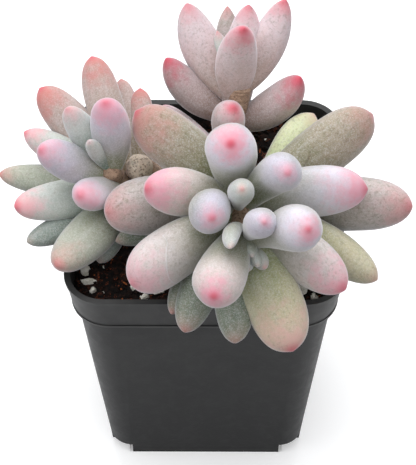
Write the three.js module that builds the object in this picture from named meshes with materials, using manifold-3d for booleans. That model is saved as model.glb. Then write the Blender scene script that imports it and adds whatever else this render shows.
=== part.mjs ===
// A baby finger pachyphytum in its square nursery pot: three leafy stems, one of them cut back,
// stand in dark potting soil with grains of perlite and bits of bark on top.
// Millimetres, +Z up. The origin is the middle of the pot's base, and the plant leans to the front, -Y.
import * as THREE from 'three';
import { mergeVertices } from 'three/addons/utils/BufferGeometryUtils.js';
import Module from 'manifold-3d';

const wasm = await Module();
wasm.setup();

// Clearance between solids that touch on the real plant
const GAP = 0.3;
// How far two solids that are joined run into each other, and how far a cut runs past a face
const OVERLAP = 0.5;
const CUT_PAST = 1;
const WELD = 1e-4;

// The pot: half-widths and corner radii of its square outline, and heights above the ground
const POT_HEIGHT = 68;
const COLLAR_HEIGHT = 10.2;
const RIM_HALF = 32;
const RIM_CORNER = 8.8;
const COLLAR_FOOT_HALF = 30.6;
const BODY_TOP_HALF = 29.6;
const BODY_TOP_CORNER = 8.2;
const BODY_FOOT_HALF = 23.5;
const BODY_FOOT_CORNER = 5.5;
const POT_WALL = 1.2;
const BEAD_HEIGHT = 1.1;
const BEAD_PROUD = 0.4;
const LIP_HEIGHT = 1.0;
const LIP_PROUD = 0.35;
const CORNER_STEPS = 4;
// The sides of the middle on which the pot's four corners lie
const FOUR_CORNERS = [[1, 1], [-1, 1], [-1, -1], [1, -1]];

// The pot stands on the cross-shaped middle of its floor: its four corners are carried higher
const FOOT_HALF = 18.7;
const CORNER_LIFT = 3.4;
const FLOOR = 1.4;
const DRAIN_HOLE_RADIUS = 1.4;
const DRAIN_HOLE_PLACE = 20.5;
const DRAIN_HOLE_SIDES = 10;

// The soil's mounded and lumpy top. Ripples are radians per millimetre
const SOIL_TOP = 63;
const SOIL_MOUND = 1.1;
const SOIL_MOUND_RIPPLE = 0.044;
const SOIL_LUMP = 0.35;
const SOIL_LUMP_RIPPLE = 0.6;
const SOIL_CELLS = 14;

// The light comes from the front and above, and every crown turns to it.
// Leaf angles are told from it: turn is clockwise from straight up as seen along the light, in degrees,
// and lean is the angle between the leaf and the light
const LIGHT_TILT = 41.3;

// Leaf form, as shares of the leaf's own length and width
const LEAF_SIDES = 9;
const LEAF_STATIONS = [0.16, 0.36, 0.55, 0.73, 0.88, 0.965];
const LEAF_BASE_GIRTH = 0.42;
// For each kind of leaf: how blunt its tip is and how full, where along it the leaf is widest, how deep
// it is above and below its middle, how much the light, against the stem, decides which way its upper
// side faces, and how much an inner and an outer leaf curls
const FINGER = { blunt: 0.5, full: 2.2, widest: 0.6, depth: [0.76, 0.92], lightPull: 0.5, curl: [0.4, 0.1] };
const THUMB = { ...FINGER, full: 3 };
const EGG = { ...FINGER, widest: 0.74, depth: [0.95, 0.95], lightPull: 3 };
const SIDE_FINGER = { ...FINGER, blunt: 0.55, widest: 0.55, curl: [0.35, 0.12] };
const SLIM_FINGER = { ...FINGER, blunt: 0.62, widest: 0.48, curl: [0.4, 0.42] };
const SLIM_EGG = { ...FINGER, blunt: 0.55, depth: [0.9, 0.9], lightPull: 1.5 };
const STEM_SIDES = 10;
const STEM_STEPS = 10;
const STEM_DEPTH_IN_SOIL = 14;
const STEM_END_SHARE = 0.98;
const STEM_END_RINGS = 6;

// Each crown: the stem's radius, the points that its middle line runs through, and its leaves by kind.
// A leaf's numbers: share of the way up the stem, turn, lean, length, width, and its own curl if it has one
const FRONT_CROWN = {
  radius: 2.9,
  route: [[14, -2, 63], [11, -9, 75], [7.5, -16, 84], [9, -26, 84.5], [9.5, -29.5, 84]],
  kinds: [
    {
      form: FINGER,
      leaves: [
        [0.1, 28, 107, 28, 10.6],
        [0.15, 88, 73, 36.5, 13.6],
        [0.25, -104, 80, 32.5, 7.4],
        [0.2, -114, 76, 32, 8],
        [0.1, -41.5, 113.6, 37.8, 6.4],
        [0.35, 120, 82, 34.5, 10.2],
        [0.35, -146, 71, 31.5, 7.6],
        [0.4, -156, 71, 33.5, 9.8],
        [0.4, -177, 67, 34, 9.8],
        [0.45, 84, 86, 29, 12.4],
        [0.55, -78, 62, 23.5, 11.6],
        [0.6, 125, 76, 29.5, 11.8],
        [0.7, -144, 14, 21, 3.8],
        [0.7, 75, 50, 12, 3.4],
        [0.85, 157, 30, 7.2, 2.6],
        [0.95, 150, 40, 7.6, 2.7],
        [1, 178, 50, 5.6, 2.9],
        [0.95, 138, 58, 7, 3.3],
      ],
    },
    {
      form: THUMB,
      leaves: [
        [0.25, 52, 94, 35, 13],
        [0.2, -91, 65.5, 37, 14.6],
        [0.45, -49, 87, 31, 12.6],
        [0.65, 158, 82, 31, 13.2],
        [0.6, -123, 74, 29.5, 13.4],
      ],
    },
    {
      form: EGG,
      leaves: [
        [0.5, -7, 34, 23.4, 11.6, 0.73],
        [0.56, 54, 32, 25, 9.2, 0.69],
        [0.9, 76, 31, 26.5, 10.6, 0.37],
        [0.55, -112, 18, 19.8, 9.9, 0.61],
        [0.58, 8, 15, 19.2, 6, 0.22],
        [0.83, 45, 15, 21.8, 7.1, 0.24],
        [0.7, -156, 38, 25.6, 11.6, 0.23],
      ],
    },
  ],
};

// The left crown grows from the side of the old main stem
const LEFT_CROWN = {
  radius: 2.4,
  route: [[-8.5, 3, 68.5], [-16, -1, 72.5], [-20.5, -3.5, 79], [-22, -5.4, 84.5]],
  kinds: [
    {
      form: SIDE_FINGER,
      leaves: [
        [0.5, -15, 98, 31, 8.8],
        [0.35, -8, 106, 27, 6.6],
        [0.3, 0, 101, 24, 6.6],
        [0.4, -43, 94, 31.5, 9.6],
        [0.5, -77, 100, 19.5, 3.8],
        [0.35, -84, 95, 32, 7.6],
        [0.55, -63, 95, 25.5, 7.4],
        [0.3, -116, 66, 30.5, 7],
        [0.5, -163, 75, 19.5, 7.4],
        [0.45, -101, 67, 28, 9.2],
        [0.75, -34, 56, 21.5, 7],
        [0.8, -3, 44, 22.5, 9.4],
        [0.7, -70, 48, 23, 8.8],
        [0.4, -138, 51, 31, 10.8],
        [0.6, -114, 30, 18, 8.6],
        [0.9, -35, 36, 13, 3.8],
      ],
    },
  ],
};

// The back crown is the small upright one
const BACK_CROWN = {
  radius: 2.9,
  route: [[6, 19, 63], [6.5, 21, 70], [7.2, 22.5, 76], [7.7, 23.5, 80], [8, 24, 82]],
  kinds: [
    {
      form: SLIM_FINGER,
      leaves: [
        [0.49, -5, 95, 24, 7],
        [0.69, 7, 74, 21.5, 8.2],
        [0.9, -22, 80, 14, 4.4],
        [0.59, -28, 75, 26, 10.4],
        [0.69, 27, 72, 25.5, 8.8],
        [0.36, -50, 65, 23, 9.2],
        [0.29, 56, 56, 22.5, 9.8],
        [0.4, 6, 45, 27, 9.8],
        [0.36, 8, 103, 19, 7.4],
        [0.28, -14, 106, 18, 7],
      ],
    },
    {
      form: SLIM_EGG,
      leaves: [
        [0.15, 4, 21, 18.2, 8.9, 0.3],
      ],
    },
  ],
};

// The old main stem was cut back: it ends in a healed stub
const TRUNK_RADIUS = 3;
const TRUNK_ROUTE = [[-5, 5, 63], [-10, 1.6, 72], [-15.2, -2, 80.8]];

// Perlite grains and bark bits that lie half sunk in the soil: place, half-sizes, turn about Z in degrees
const PERLITE = [
  [[-27.4, -18.3], [1.3, 1.9, 1.3], 10],
  [[-26.8, -21.7], [1.9, 0.9, 0.9], -5],
  [[-25.6, -24.4], [0.9, 0.9, 0.8], 0],
  [[-16, -23.4], [1.5, 1.4, 1.2], 30],
  [[-13.6, -26.3], [1, 0.9, 0.8], 60],
  [[-11, -25], [1.7, 0.8, 0.8], -12],
  [[21.6, -24.3], [2, 1.8, 1.6], 25],
  [[25, -26.4], [1.2, 1, 1], 70],
  [[22, 27], [2.5, 1.5, 1.4], -8],
  [[-12, 27], [1.6, 1.3, 1.1], 40],
  [[27.3, 8], [1.2, 1.7, 1.1], 15],
  [[-27, 12], [1.4, 1.2, 1], 80],
];
const BARK = [
  [[-20.8, -25.3], [2.3, 0.7, 0.5], 4],
  [[-8.2, -27], [1.3, 0.8, 0.5], -20],
  [[24.4, 18], [2.6, 1.1, 0.6], 65],
  [[-21.5, 24], [2.8, 1, 0.6], -35],
];
const GRAIN_SUNK = 0.25;
const GRAIN_ROUGHNESS = 0.16;
const GRAIN_LUMPS = [5, 4, 4];
const BARK_TAPER = 0.8;

const rad = THREE.MathUtils.degToRad;
const RIGHT = new THREE.Vector3(1, 0, 0);
const LIGHT = new THREE.Vector3(0, -Math.sin(rad(LIGHT_TILT)), Math.cos(rad(LIGHT_TILT)));
const UPHILL = new THREE.Vector3().crossVectors(LIGHT, RIGHT);

// Turn a closed three.js geometry into a solid that can be joined and cut
function solidOf(geometry) {
  geometry.deleteAttribute('normal');
  geometry.deleteAttribute('uv');
  const merged = mergeVertices(geometry, WELD);
  const corners = merged.index.array;
  const kept = [];
  for (let i = 0; i < corners.length; i += 3) {
    const [a, b, c] = corners.slice(i, i + 3);
    if (a !== b && b !== c && c !== a) {
      kept.push(a, b, c);
    }
  }
  const mesh = new wasm.Mesh({
    numProp: 3,
    vertProperties: new Float32Array(merged.attributes.position.array),
    triVerts: new Uint32Array(kept),
  });
  return new wasm.Manifold(mesh);
}

function geometryOf(solid) {
  const mesh = solid.getMesh();
  const geometry = new THREE.BufferGeometry();
  geometry.setAttribute('position', new THREE.BufferAttribute(new Float32Array(mesh.vertProperties), 3));
  geometry.setIndex(new THREE.BufferAttribute(new Uint32Array(mesh.triVerts), 1));
  geometry.computeVertexNormals();
  return geometry;
}

function joined(solids) {
  return solids.reduce((whole, piece) => whole.add(piece));
}

// The largest body alone: this fills a hollow sealed in between leaves and drops a loose scrap
function largestBody(solid) {
  return solid.decompose().reduce((best, body) => (body.volume() > best.volume() ? body : best));
}

function moveVertices(geometry, move) {
  const position = geometry.attributes.position;
  const point = new THREE.Vector3();
  for (let i = 0; i < position.count; i += 1) {
    point.fromBufferAttribute(position, i);
    move(point);
    position.setXYZ(i, point.x, point.y, point.z);
  }
  return geometry;
}

// A square block with round corners whose outline grows from its foot to its top
function squareBlock(foot, top, low, high) {
  const edge = top.half - top.corner;
  const outline = new THREE.Shape();
  outline.absarc(edge, edge, top.corner, 0, rad(90), false);
  outline.absarc(-edge, edge, top.corner, rad(90), rad(180), false);
  outline.absarc(-edge, -edge, top.corner, rad(180), rad(270), false);
  outline.absarc(edge, -edge, top.corner, rad(270), rad(360), false);
  const block = new THREE.ExtrudeGeometry(outline, {
    depth: high - low,
    bevelEnabled: false,
    curveSegments: CORNER_STEPS,
  });
  const footEdge = foot.half - foot.corner;
  const drawnIn = (at) => Math.sign(at) * (footEdge + ((Math.abs(at) - edge) / top.corner) * foot.corner);
  moveVertices(block, (point) => {
    if (point.z < WELD) {
      point.x = drawnIn(point.x);
      point.y = drawnIn(point.y);
    }
    point.z += low;
  });
  return solidOf(block);
}

// The outline of the pot's body at a height, made smaller all round by an inset
function bodyOutline(height, inset) {
  const share = (height - CORNER_LIFT) / (POT_HEIGHT - COLLAR_HEIGHT - CORNER_LIFT);
  const half = THREE.MathUtils.lerp(BODY_FOOT_HALF, BODY_TOP_HALF, share) - inset;
  const corner = THREE.MathUtils.lerp(BODY_FOOT_CORNER, BODY_TOP_CORNER, share) - inset;
  return { half, corner };
}

function collarOutline(height, inset) {
  const share = (height - POT_HEIGHT + COLLAR_HEIGHT) / COLLAR_HEIGHT;
  const half = THREE.MathUtils.lerp(COLLAR_FOOT_HALF, RIM_HALF, share) - inset;
  return { half, corner: RIM_CORNER - inset };
}

// A straight-sided block of the body's outline, or of the collar's, between two heights
function bodyBlock(low, high, inset) {
  return squareBlock(bodyOutline(low, inset), bodyOutline(high, inset), low, high);
}

function collarBlock(low, high, inset) {
  return squareBlock(collarOutline(low, inset), collarOutline(high, inset), low, high);
}

// The four corners that the pot's foot leaves out, up to a height
function cornerBlocks(half, height) {
  const reach = RIM_HALF;
  const blocks = [];
  for (const [sideX, sideY] of FOUR_CORNERS) {
    const block = new THREE.BoxGeometry(reach, reach, 2 * height);
    block.translate(sideX * (half + reach / 2), sideY * (half + reach / 2), 0);
    blocks.push(solidOf(block));
  }
  return joined(blocks);
}

// What fills the pot's inside, made smaller all round by a clearance
function insideOfPot(top, clearance) {
  const inset = POT_WALL + clearance;
  const ledge = POT_HEIGHT - COLLAR_HEIGHT + POT_WALL;
  const lower = bodyBlock(FLOOR + clearance, ledge + clearance, inset);
  const upper = collarBlock(ledge + clearance, top, inset);
  const corners = cornerBlocks(FOOT_HALF - POT_WALL - clearance, CORNER_LIFT + FLOOR + clearance);
  return lower.subtract(corners).add(upper);
}

function potSolid() {
  const collarFoot = POT_HEIGHT - COLLAR_HEIGHT;
  const outside = joined([
    bodyBlock(0, collarFoot + OVERLAP, 0),
    collarBlock(collarFoot, POT_HEIGHT, 0),
    collarBlock(collarFoot, collarFoot + BEAD_HEIGHT, -BEAD_PROUD),
    collarBlock(POT_HEIGHT - LIP_HEIGHT, POT_HEIGHT, -LIP_PROUD),
  ]);
  let pot = outside.subtract(cornerBlocks(FOOT_HALF, CORNER_LIFT));
  pot = pot.subtract(insideOfPot(POT_HEIGHT + CUT_PAST, 0));
  for (const [sideX, sideY] of FOUR_CORNERS) {
    const depth = 2 * (CORNER_LIFT + FLOOR + CUT_PAST);
    const drill = new THREE.CylinderGeometry(DRAIN_HOLE_RADIUS, DRAIN_HOLE_RADIUS, depth, DRAIN_HOLE_SIDES);
    drill.rotateX(rad(90));
    drill.translate(sideX * DRAIN_HOLE_PLACE, sideY * DRAIN_HOLE_PLACE, 0);
    pot = pot.subtract(solidOf(drill));
  }
  return pot;
}

// The soil's surface height: a low mound with small lumps
function soilHeight(x, y) {
  const mound = Math.cos(SOIL_MOUND_RIPPLE * x) * Math.cos(SOIL_MOUND_RIPPLE * y);
  const across = Math.sin(SOIL_LUMP_RIPPLE * x + Math.sin((SOIL_LUMP_RIPPLE * y) / 2));
  const back = Math.cos(SOIL_LUMP_RIPPLE * y + (SOIL_LUMP_RIPPLE * x) / 4);
  return SOIL_TOP + SOIL_MOUND * mound + SOIL_LUMP * across * back;
}

function soilSolid() {
  const side = 2 * RIM_HALF;
  const cover = new THREE.BoxGeometry(side, side, SOIL_TOP, SOIL_CELLS, SOIL_CELLS, 1);
  cover.translate(0, 0, SOIL_TOP / 2);
  moveVertices(cover, (point) => {
    if (point.z > SOIL_TOP / 2) {
      point.z = soilHeight(point.x, point.y);
    }
  });
  return insideOfPot(POT_HEIGHT - CUT_PAST, GAP).intersect(solidOf(cover));
}

// A stem's middle line: straight up out of the soil, then through the points of its route
function middleLine(route, depth) {
  const points = route.map(([x, y, z]) => new THREE.Vector3(x, y, z));
  if (depth > 0) {
    const [x, y, z] = route[0];
    points.unshift(new THREE.Vector3(x, y, z - depth));
  }
  return new THREE.CatmullRomCurve3(points, false, 'centripetal');
}

function stemSolid(route, radius, depth) {
  const section = new THREE.Shape();
  section.absarc(0, 0, radius, 0, rad(360), false);
  const line = middleLine(route, depth);
  const shaft = new THREE.ExtrudeGeometry(section, {
    extrudePath: line,
    steps: STEM_STEPS,
    curveSegments: STEM_SIDES / 2,
    bevelEnabled: false,
  });
  const end = new THREE.SphereGeometry(radius * STEM_END_SHARE, STEM_SIDES, STEM_END_RINGS);
  end.translate(...route.at(-1));
  return solidOf(shaft).add(solidOf(end));
}

// A grain of perlite: a lumpy ball, larger by a clearance where it is used to cut its pocket
function perliteSolid([[x, y], half, turn], clearance) {
  const ball = new THREE.IcosahedronGeometry(1, 1);
  moveVertices(ball, (point) => {
    const [lumpsX, lumpsY, lumpsZ] = GRAIN_LUMPS;
    const across = Math.sin(lumpsX * point.x + x) * Math.cos(lumpsY * point.y + y);
    const lump = across * Math.sin(lumpsZ * point.z + 1);
    point.multiplyScalar(1 + GRAIN_ROUGHNESS * lump);
  });
  ball.scale(...half.map((size) => size + clearance));
  ball.rotateZ(rad(turn));
  ball.translate(x, y, soilHeight(x, y) + GRAIN_SUNK * half[2]);
  return solidOf(ball);
}

// A bit of bark: a slab with slanted ends
function barkSolid([[x, y], half, turn], clearance) {
  const [halfLong, halfWide, halfThick] = half.map((size) => size + clearance);
  const slab = new THREE.BoxGeometry(2 * halfLong, 2 * halfWide, 2 * halfThick);
  moveVertices(slab, (point) => {
    point.y *= point.x > 0 ? 1 : BARK_TAPER;
    point.x *= point.y > 0 ? 1 : BARK_TAPER;
  });
  slab.rotateZ(rad(turn));
  slab.translate(x, y, soilHeight(x, y) + GRAIN_SUNK * half[2]);
  return solidOf(slab);
}

// The leaf's girth, as a share of its widest, along its length
function leafGirth({ blunt, full, widest }, along) {
  if (along < widest) {
    return LEAF_BASE_GIRTH + (1 - LEAF_BASE_GIRTH) * Math.sin((along / widest) * rad(90));
  }
  const toTip = (along - widest) / (1 - widest);
  return (1 - toTip ** full) ** blunt;
}

// A plump finger leaf: a lathed spindle, flatter above than below, bowed so that its tip curls to the crown
function leafSolid(route, form, [rise, turn, lean, long, wide, ownCurl]) {
  const line = middleLine(route, 0);
  const root = line.getPoint(rise);
  const sideways = RIGHT.clone().multiplyScalar(Math.sin(rad(turn)));
  sideways.addScaledVector(UPHILL, Math.cos(rad(turn)));
  const along = LIGHT.clone().multiplyScalar(Math.cos(rad(lean)));
  along.addScaledVector(sideways, Math.sin(rad(lean)));
  const above = line.getTangentAt(1).addScaledVector(LIGHT, form.lightPull);
  above.addScaledVector(along, -above.dot(along)).normalize();
  const across = new THREE.Vector3().crossVectors(along, above);

  const profile = [new THREE.Vector2(0, 0)];
  profile.push(new THREE.Vector2((LEAF_BASE_GIRTH * wide) / 2, 0));
  for (const share of LEAF_STATIONS) {
    profile.push(new THREE.Vector2((leafGirth(form, share) * wide) / 2, share * long));
  }
  profile.push(new THREE.Vector2(0, long));
  const curl = ownCurl ?? THREE.MathUtils.mapLinear(Math.min(lean, 90), 0, 90, ...form.curl);
  const [upperDepth, lowerDepth] = form.depth;
  const leaf = new THREE.LatheGeometry(profile, LEAF_SIDES);
  moveVertices(leaf, (point) => {
    const depth = point.z > 0 ? upperDepth : lowerDepth;
    const share = point.y / long;
    const bow = curl * long * (share * share - share);
    const place = root.clone();
    place.addScaledVector(across, point.x);
    place.addScaledVector(along, point.y);
    place.addScaledVector(above, point.z * depth + bow);
    point.copy(place);
  });
  return solidOf(leaf);
}

function crownSolid(crown, depth) {
  const pieces = [stemSolid(crown.route, crown.radius, depth)];
  for (const { form, leaves } of crown.kinds) {
    for (const leaf of leaves) {
      pieces.push(leafSolid(crown.route, form, leaf));
    }
  }
  return joined(pieces);
}

const plant = new THREE.Group();

function addPart(name, solid, look) {
  const mesh = new THREE.Mesh(geometryOf(solid), new THREE.MeshStandardMaterial(look));
  mesh.name = name;
  plant.add(mesh);
}

const POT_LOOK = { color: '#3b3d3f', roughness: 0.5, metalness: 0 };
const SOIL_LOOK = { color: '#1c1512', roughness: 1, metalness: 0 };
const LEAF_LOOK = { color: '#c3bcbd', roughness: 0.75, metalness: 0 };
const PERLITE_LOOK = { color: '#cfccc4', roughness: 0.9, metalness: 0 };
const BARK_LOOK = { color: '#7a4f33', roughness: 0.9, metalness: 0 };

addPart('pot', potSolid(), POT_LOOK);

// The soil, with a plain hole for each stem and a pocket for each grain
let soil = soilSolid();
const holes = [
  [FRONT_CROWN.route, FRONT_CROWN.radius],
  [TRUNK_ROUTE, TRUNK_RADIUS],
  [BACK_CROWN.route, BACK_CROWN.radius],
];
for (const [route, radius] of holes) {
  soil = soil.subtract(stemSolid(route, radius + GAP, STEM_DEPTH_IN_SOIL + GAP));
}
for (const grain of PERLITE) {
  soil = soil.subtract(perliteSolid(grain, GAP));
}
for (const chip of BARK) {
  soil = soil.subtract(barkSolid(chip, GAP));
}
addPart('soil', soil, SOIL_LOOK);
PERLITE.forEach((grain, i) => addPart(`perlite_${i + 1}`, perliteSolid(grain, 0), PERLITE_LOOK));
BARK.forEach((chip, i) => addPart(`bark_${i + 1}`, barkSolid(chip, 0), BARK_LOOK));

const trunk = stemSolid(TRUNK_ROUTE, TRUNK_RADIUS, STEM_DEPTH_IN_SOIL);
addPart('front_crown', largestBody(crownSolid(FRONT_CROWN, STEM_DEPTH_IN_SOIL)), LEAF_LOOK);
addPart('left_crown', largestBody(crownSolid(LEFT_CROWN, 0).add(trunk)), LEAF_LOOK);
addPart('back_crown', largestBody(crownSolid(BACK_CROWN, STEM_DEPTH_IN_SOIL)), LEAF_LOOK);

export default plant;
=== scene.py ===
"""A baby finger pachyphytum in its square nursery pot: leaves, stems, soil and pot as they look."""

import math
import random

import bmesh
import bpy
from bpy.props import FloatProperty, FloatVectorProperty, IntProperty, PointerProperty
from mathutils import Matrix, Vector, noise


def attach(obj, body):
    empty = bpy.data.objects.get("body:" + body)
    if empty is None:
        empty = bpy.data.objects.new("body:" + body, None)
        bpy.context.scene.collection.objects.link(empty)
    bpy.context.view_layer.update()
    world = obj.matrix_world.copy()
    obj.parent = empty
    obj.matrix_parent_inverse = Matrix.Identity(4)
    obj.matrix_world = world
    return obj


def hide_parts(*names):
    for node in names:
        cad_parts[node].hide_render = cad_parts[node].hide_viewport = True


bl_info = {
    "name": "Potted baby finger pachyphytum",
    "version": (1, 0, 0),
    "blender": (4, 5, 0),
    "location": "3D View > Sidebar > Plant",
    "description": "Grows a powdery finger succulent in a square plastic nursery pot",
    "category": "Add Mesh",
}

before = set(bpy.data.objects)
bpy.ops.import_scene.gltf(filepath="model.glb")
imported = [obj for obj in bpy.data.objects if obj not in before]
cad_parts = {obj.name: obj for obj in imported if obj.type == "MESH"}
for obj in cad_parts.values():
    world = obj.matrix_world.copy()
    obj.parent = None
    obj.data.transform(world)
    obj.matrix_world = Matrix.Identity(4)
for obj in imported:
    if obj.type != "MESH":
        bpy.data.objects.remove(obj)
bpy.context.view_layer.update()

# Sizes below are in millimetres, and Blender's own are in metres
MM = 0.001

# The crowns. Every one turns to the light, which comes from the front and above.
# A leaf's turn is clockwise from straight up as seen along the light, in degrees,
# and its lean is the angle between the leaf and the light
LIGHT_TILT = math.radians(41.3)
RIGHT = Vector((1, 0, 0))
LIGHT = Vector((0, -math.sin(LIGHT_TILT), math.cos(LIGHT_TILT)))
UPHILL = LIGHT.cross(RIGHT)

# For each kind of leaf: how blunt its tip is and how full, where along it the leaf is widest, its girth at
# the stem as a share of its widest, how thin its neck is, how deep it is above and below its middle, how
# much the light, against the stem, decides which way its upper side faces, how much an inner and an outer
# leaf curls, how far up its green runs, and how far the blush runs from the tip and how wide its deep dot
# is, both in leaf widths
FINGER = {
    "blunt": 0.5,
    "full": 2.2,
    "widest": 0.6,
    "foot": 0.36,
    "neck": 1,
    "depth": (0.76, 0.92),
    "light_pull": 0.5,
    "curl": (0.4, 0.1),
    "green": 1,
    "reach": 1.0,
    "dot": 0.2,
}
THUMB = {**FINGER, "full": 3}
# The eggs' green runs further up and darkens the neck. This is partly the neck's own green and partly
# painted shade under the round egg
EGG = {
    **FINGER,
    "widest": 0.72,
    "foot": 0.3,
    "neck": 1.6,
    "depth": (0.95, 0.95),
    "light_pull": 3,
    "green": 1.8,
    "reach": 0.52,
    "dot": 0.12,
}
LONG_EGG = {**EGG, "green": 2.6}
PLUMP_EGG = {**EGG, "foot": 0.42, "neck": 1, "green": 2}
SIDE_FINGER = {**FINGER, "blunt": 0.47, "widest": 0.55, "curl": (0.35, 0.12)}
SIDE_THUMB = {**SIDE_FINGER, "full": 3}
SLIM_FINGER = {**FINGER, "blunt": 0.62, "widest": 0.48, "curl": (0.4, 0.42), "reach": 0.9}
SLIM_EGG = {**FINGER, "blunt": 0.55, "depth": (0.9, 0.9), "light_pull": 1.5, "reach": 0.6}

# The values that the skin materials read from a mesh, and where on a leaf each of its three tones lies
VALUES = ("along", "lower_side", "blush", "tip_gap", "dot_gap", "freckled", "mark_gap", "healed")
TONES = {"base": "towards the stem", "body": "along the leaf", "tip": "blush"}

# The leaves' colour families: whose they are, how freckled they are, and a colour for each of the tones
FAMILIES = {
    "pearl": ("Young leaves", 0.15, "#8d8f72", "#dfdbe7", "#ee9aac"),
    "lilac": ("Inner young leaves", 0.15, "#777f57", "#cac6d4", "#ec9fb2"),
    "dove": ("Grown leaves", 0.45, "#727b53", "#dbd1cf", "#eb98aa"),
    "moss": ("Shaded grown leaves", 0.9, "#6b7449", "#c3b8b4", "#d8898b"),
    "olive": ("Old leaves", 1.0, "#6b7048", "#ab9f8c", "#c58b84"),
    "fern": ("Outer leaves", 0.5, "#728251", "#c9c3a2", "#e0b1ac"),
    # The lower leaves' grey-green is darkened further as painted shade, for the shade that they hang in
    "sage": ("Lower leaves", 0.6, "#435648", "#798372", "#c0a096"),
    "lichen": ("The left crown's outer leaves", 0.5, "#66734f", "#b2b7a6", "#d69c96"),
    "jade": ("The left crown's lower leaves", 0.4, "#4a6253", "#8f9b93", "#c0a096"),
    "ice": ("Blue-green leaves", 0.3, "#52705c", "#c9cfc9", "#efa7b0"),
    "lime": ("Bruised leaves", 0.6, "#a3b47a", "#dbe1b6", "#dcb6a2"),
    "cream": ("The left crown's upper leaves", 0.35, "#85795a", "#bda9a2", "#d07873"),
    "mauve": ("The back crown's leaves", 0.5, "#ab9488", "#e3d1d5", "#e18593"),
    "wine": ("The back crown's side leaves", 0.5, "#8f7b71", "#bfabac", "#c65b6d"),
    "rose": ("Two sunlit front leaves", 0.3, "#757a58", "#d5c8c4", "#ef9bb1"),
    "bud": ("Heart leaves", 0.1, "#878e66", "#bfc4c0", "#e0b0a6"),
}

# Each leaf: share of the way up the stem, turn, lean, length, width, colour family, blush of its tip,
# and its own curl if it has one
FRONT_CROWN = {
    "radius": 2.9,
    "route": [(14, -2, 63), (11, -9, 75), (7.5, -16, 84), (9, -26, 84.5), (9.5, -29.5, 84)],
    "kinds": [
        (FINGER, [
            (0.1, 28, 107, 28, 10.6, "lime", 0.35),
            (0.15, 88, 73, 36.5, 13.6, "moss", 0.45),
            (0.25, -104, 80, 32.5, 7.4, "sage", 0.1),
            (0.2, -114, 76, 32, 8, "sage", 0.1),
            (0.1, -41.5, 113.6, 37.8, 6.4, "mauve", 0.3),
            (0.35, 120, 82, 34.5, 10.2, "fern", 0.15),
            (0.35, -146, 71, 31.5, 7.6, "sage", 0.3),
            (0.4, -156, 71, 33.5, 9.8, "sage", 0.3),
            (0.4, -177, 67, 34, 9.8, "sage", 0.15),
            (0.45, 84, 86, 29, 12.4, "pearl", 0.8),
            (0.55, -78, 62, 23.5, 11.6, "rose", 0.8),
            (0.6, 125, 76, 29.5, 11.8, "dove", 0.7),
            (0.7, -144, 14, 20, 4.2, "bud", 0.1),
            (0.7, 75, 50, 12, 3.4, "bud", 0.3),
            (0.85, 157, 30, 7.2, 3.1, "bud", 0),
            (0.95, 150, 40, 7.6, 3.2, "bud", 0),
            (1, 178, 50, 6, 3.3, "bud", 0.1),
            (0.95, 138, 58, 7.4, 3.9, "bud", 0.3),
        ]),
        (THUMB, [
            (0.25, 52, 94, 35, 13, "olive", 0.5),
            (0.2, -91, 65.5, 37, 14.6, "moss", 0.33),
            (0.45, -49, 87, 31, 12.6, "olive", 0.95),
            (0.65, 158, 82, 31, 13.2, "fern", 0.85),
            (0.6, -123, 74, 29.5, 13.4, "dove", 0.5),
        ]),
        (LONG_EGG, [
            (0.9, 76, 31, 26.5, 10.6, "pearl", 0.75, 0.37),
        ]),
        (EGG, [
            (0.55, -112, 18, 19.8, 9.9, "lilac", 0.6, 0.61),
            (0.58, 8, 15, 19.2, 6, "bud", 0.35, 0.22),
            (0.83, 45, 15, 21.8, 7.1, "lilac", 0.4, 0.24),
        ]),
        (PLUMP_EGG, [
            (0.5, -7, 34, 23.4, 11.6, "pearl", 1.0, 0.73),
            (0.56, 54, 32, 25, 9.2, "lilac", 0.5, 0.69),
            (0.7, -156, 38, 25.6, 11.6, "rose", 0.85, 0.23),
        ]),
    ],
}

LEFT_CROWN = {
    "radius": 2.4,
    "route": [(-8.5, 3, 68.5), (-16, -1, 72.5), (-20.5, -3.5, 79), (-22, -5.4, 84.5)],
    "kinds": [
        (SIDE_THUMB, [
            (0.5, -15, 98, 31, 8.8, "cream", 0.85),
            (0.35, -8, 106, 27, 6.6, "cream", 0.4),
            (0.3, 0, 101, 24, 6.6, "cream", 0.8),
            (0.4, -43, 94, 31.5, 9.6, "cream", 0.85),
        ]),
        (SIDE_FINGER, [
            (0.5, -77, 100, 19.5, 3.8, "pearl", 0.5),
            (0.35, -84, 95, 32, 7.6, "lichen", 0.5),
            (0.55, -63, 95, 25.5, 7.4, "ice", 0.8),
            (0.3, -116, 66, 30.5, 7, "jade", 0),
            (0.5, -163, 75, 19.5, 7.4, "jade", 0.1),
            (0.45, -101, 67, 28, 9.2, "ice", 0.8),
            (0.75, -34, 56, 21.5, 7, "ice", 0.4),
            (0.8, -3, 44, 22.5, 9.4, "lilac", 0.7),
            (0.7, -70, 48, 23, 8.8, "lilac", 0.6),
            (0.4, -138, 51, 31, 10.8, "lichen", 0.5),
            (0.6, -114, 30, 18, 8.6, "pearl", 0.6),
            (0.9, -35, 36, 13, 3.8, "ice", 0.05),
        ]),
    ],
}

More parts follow.
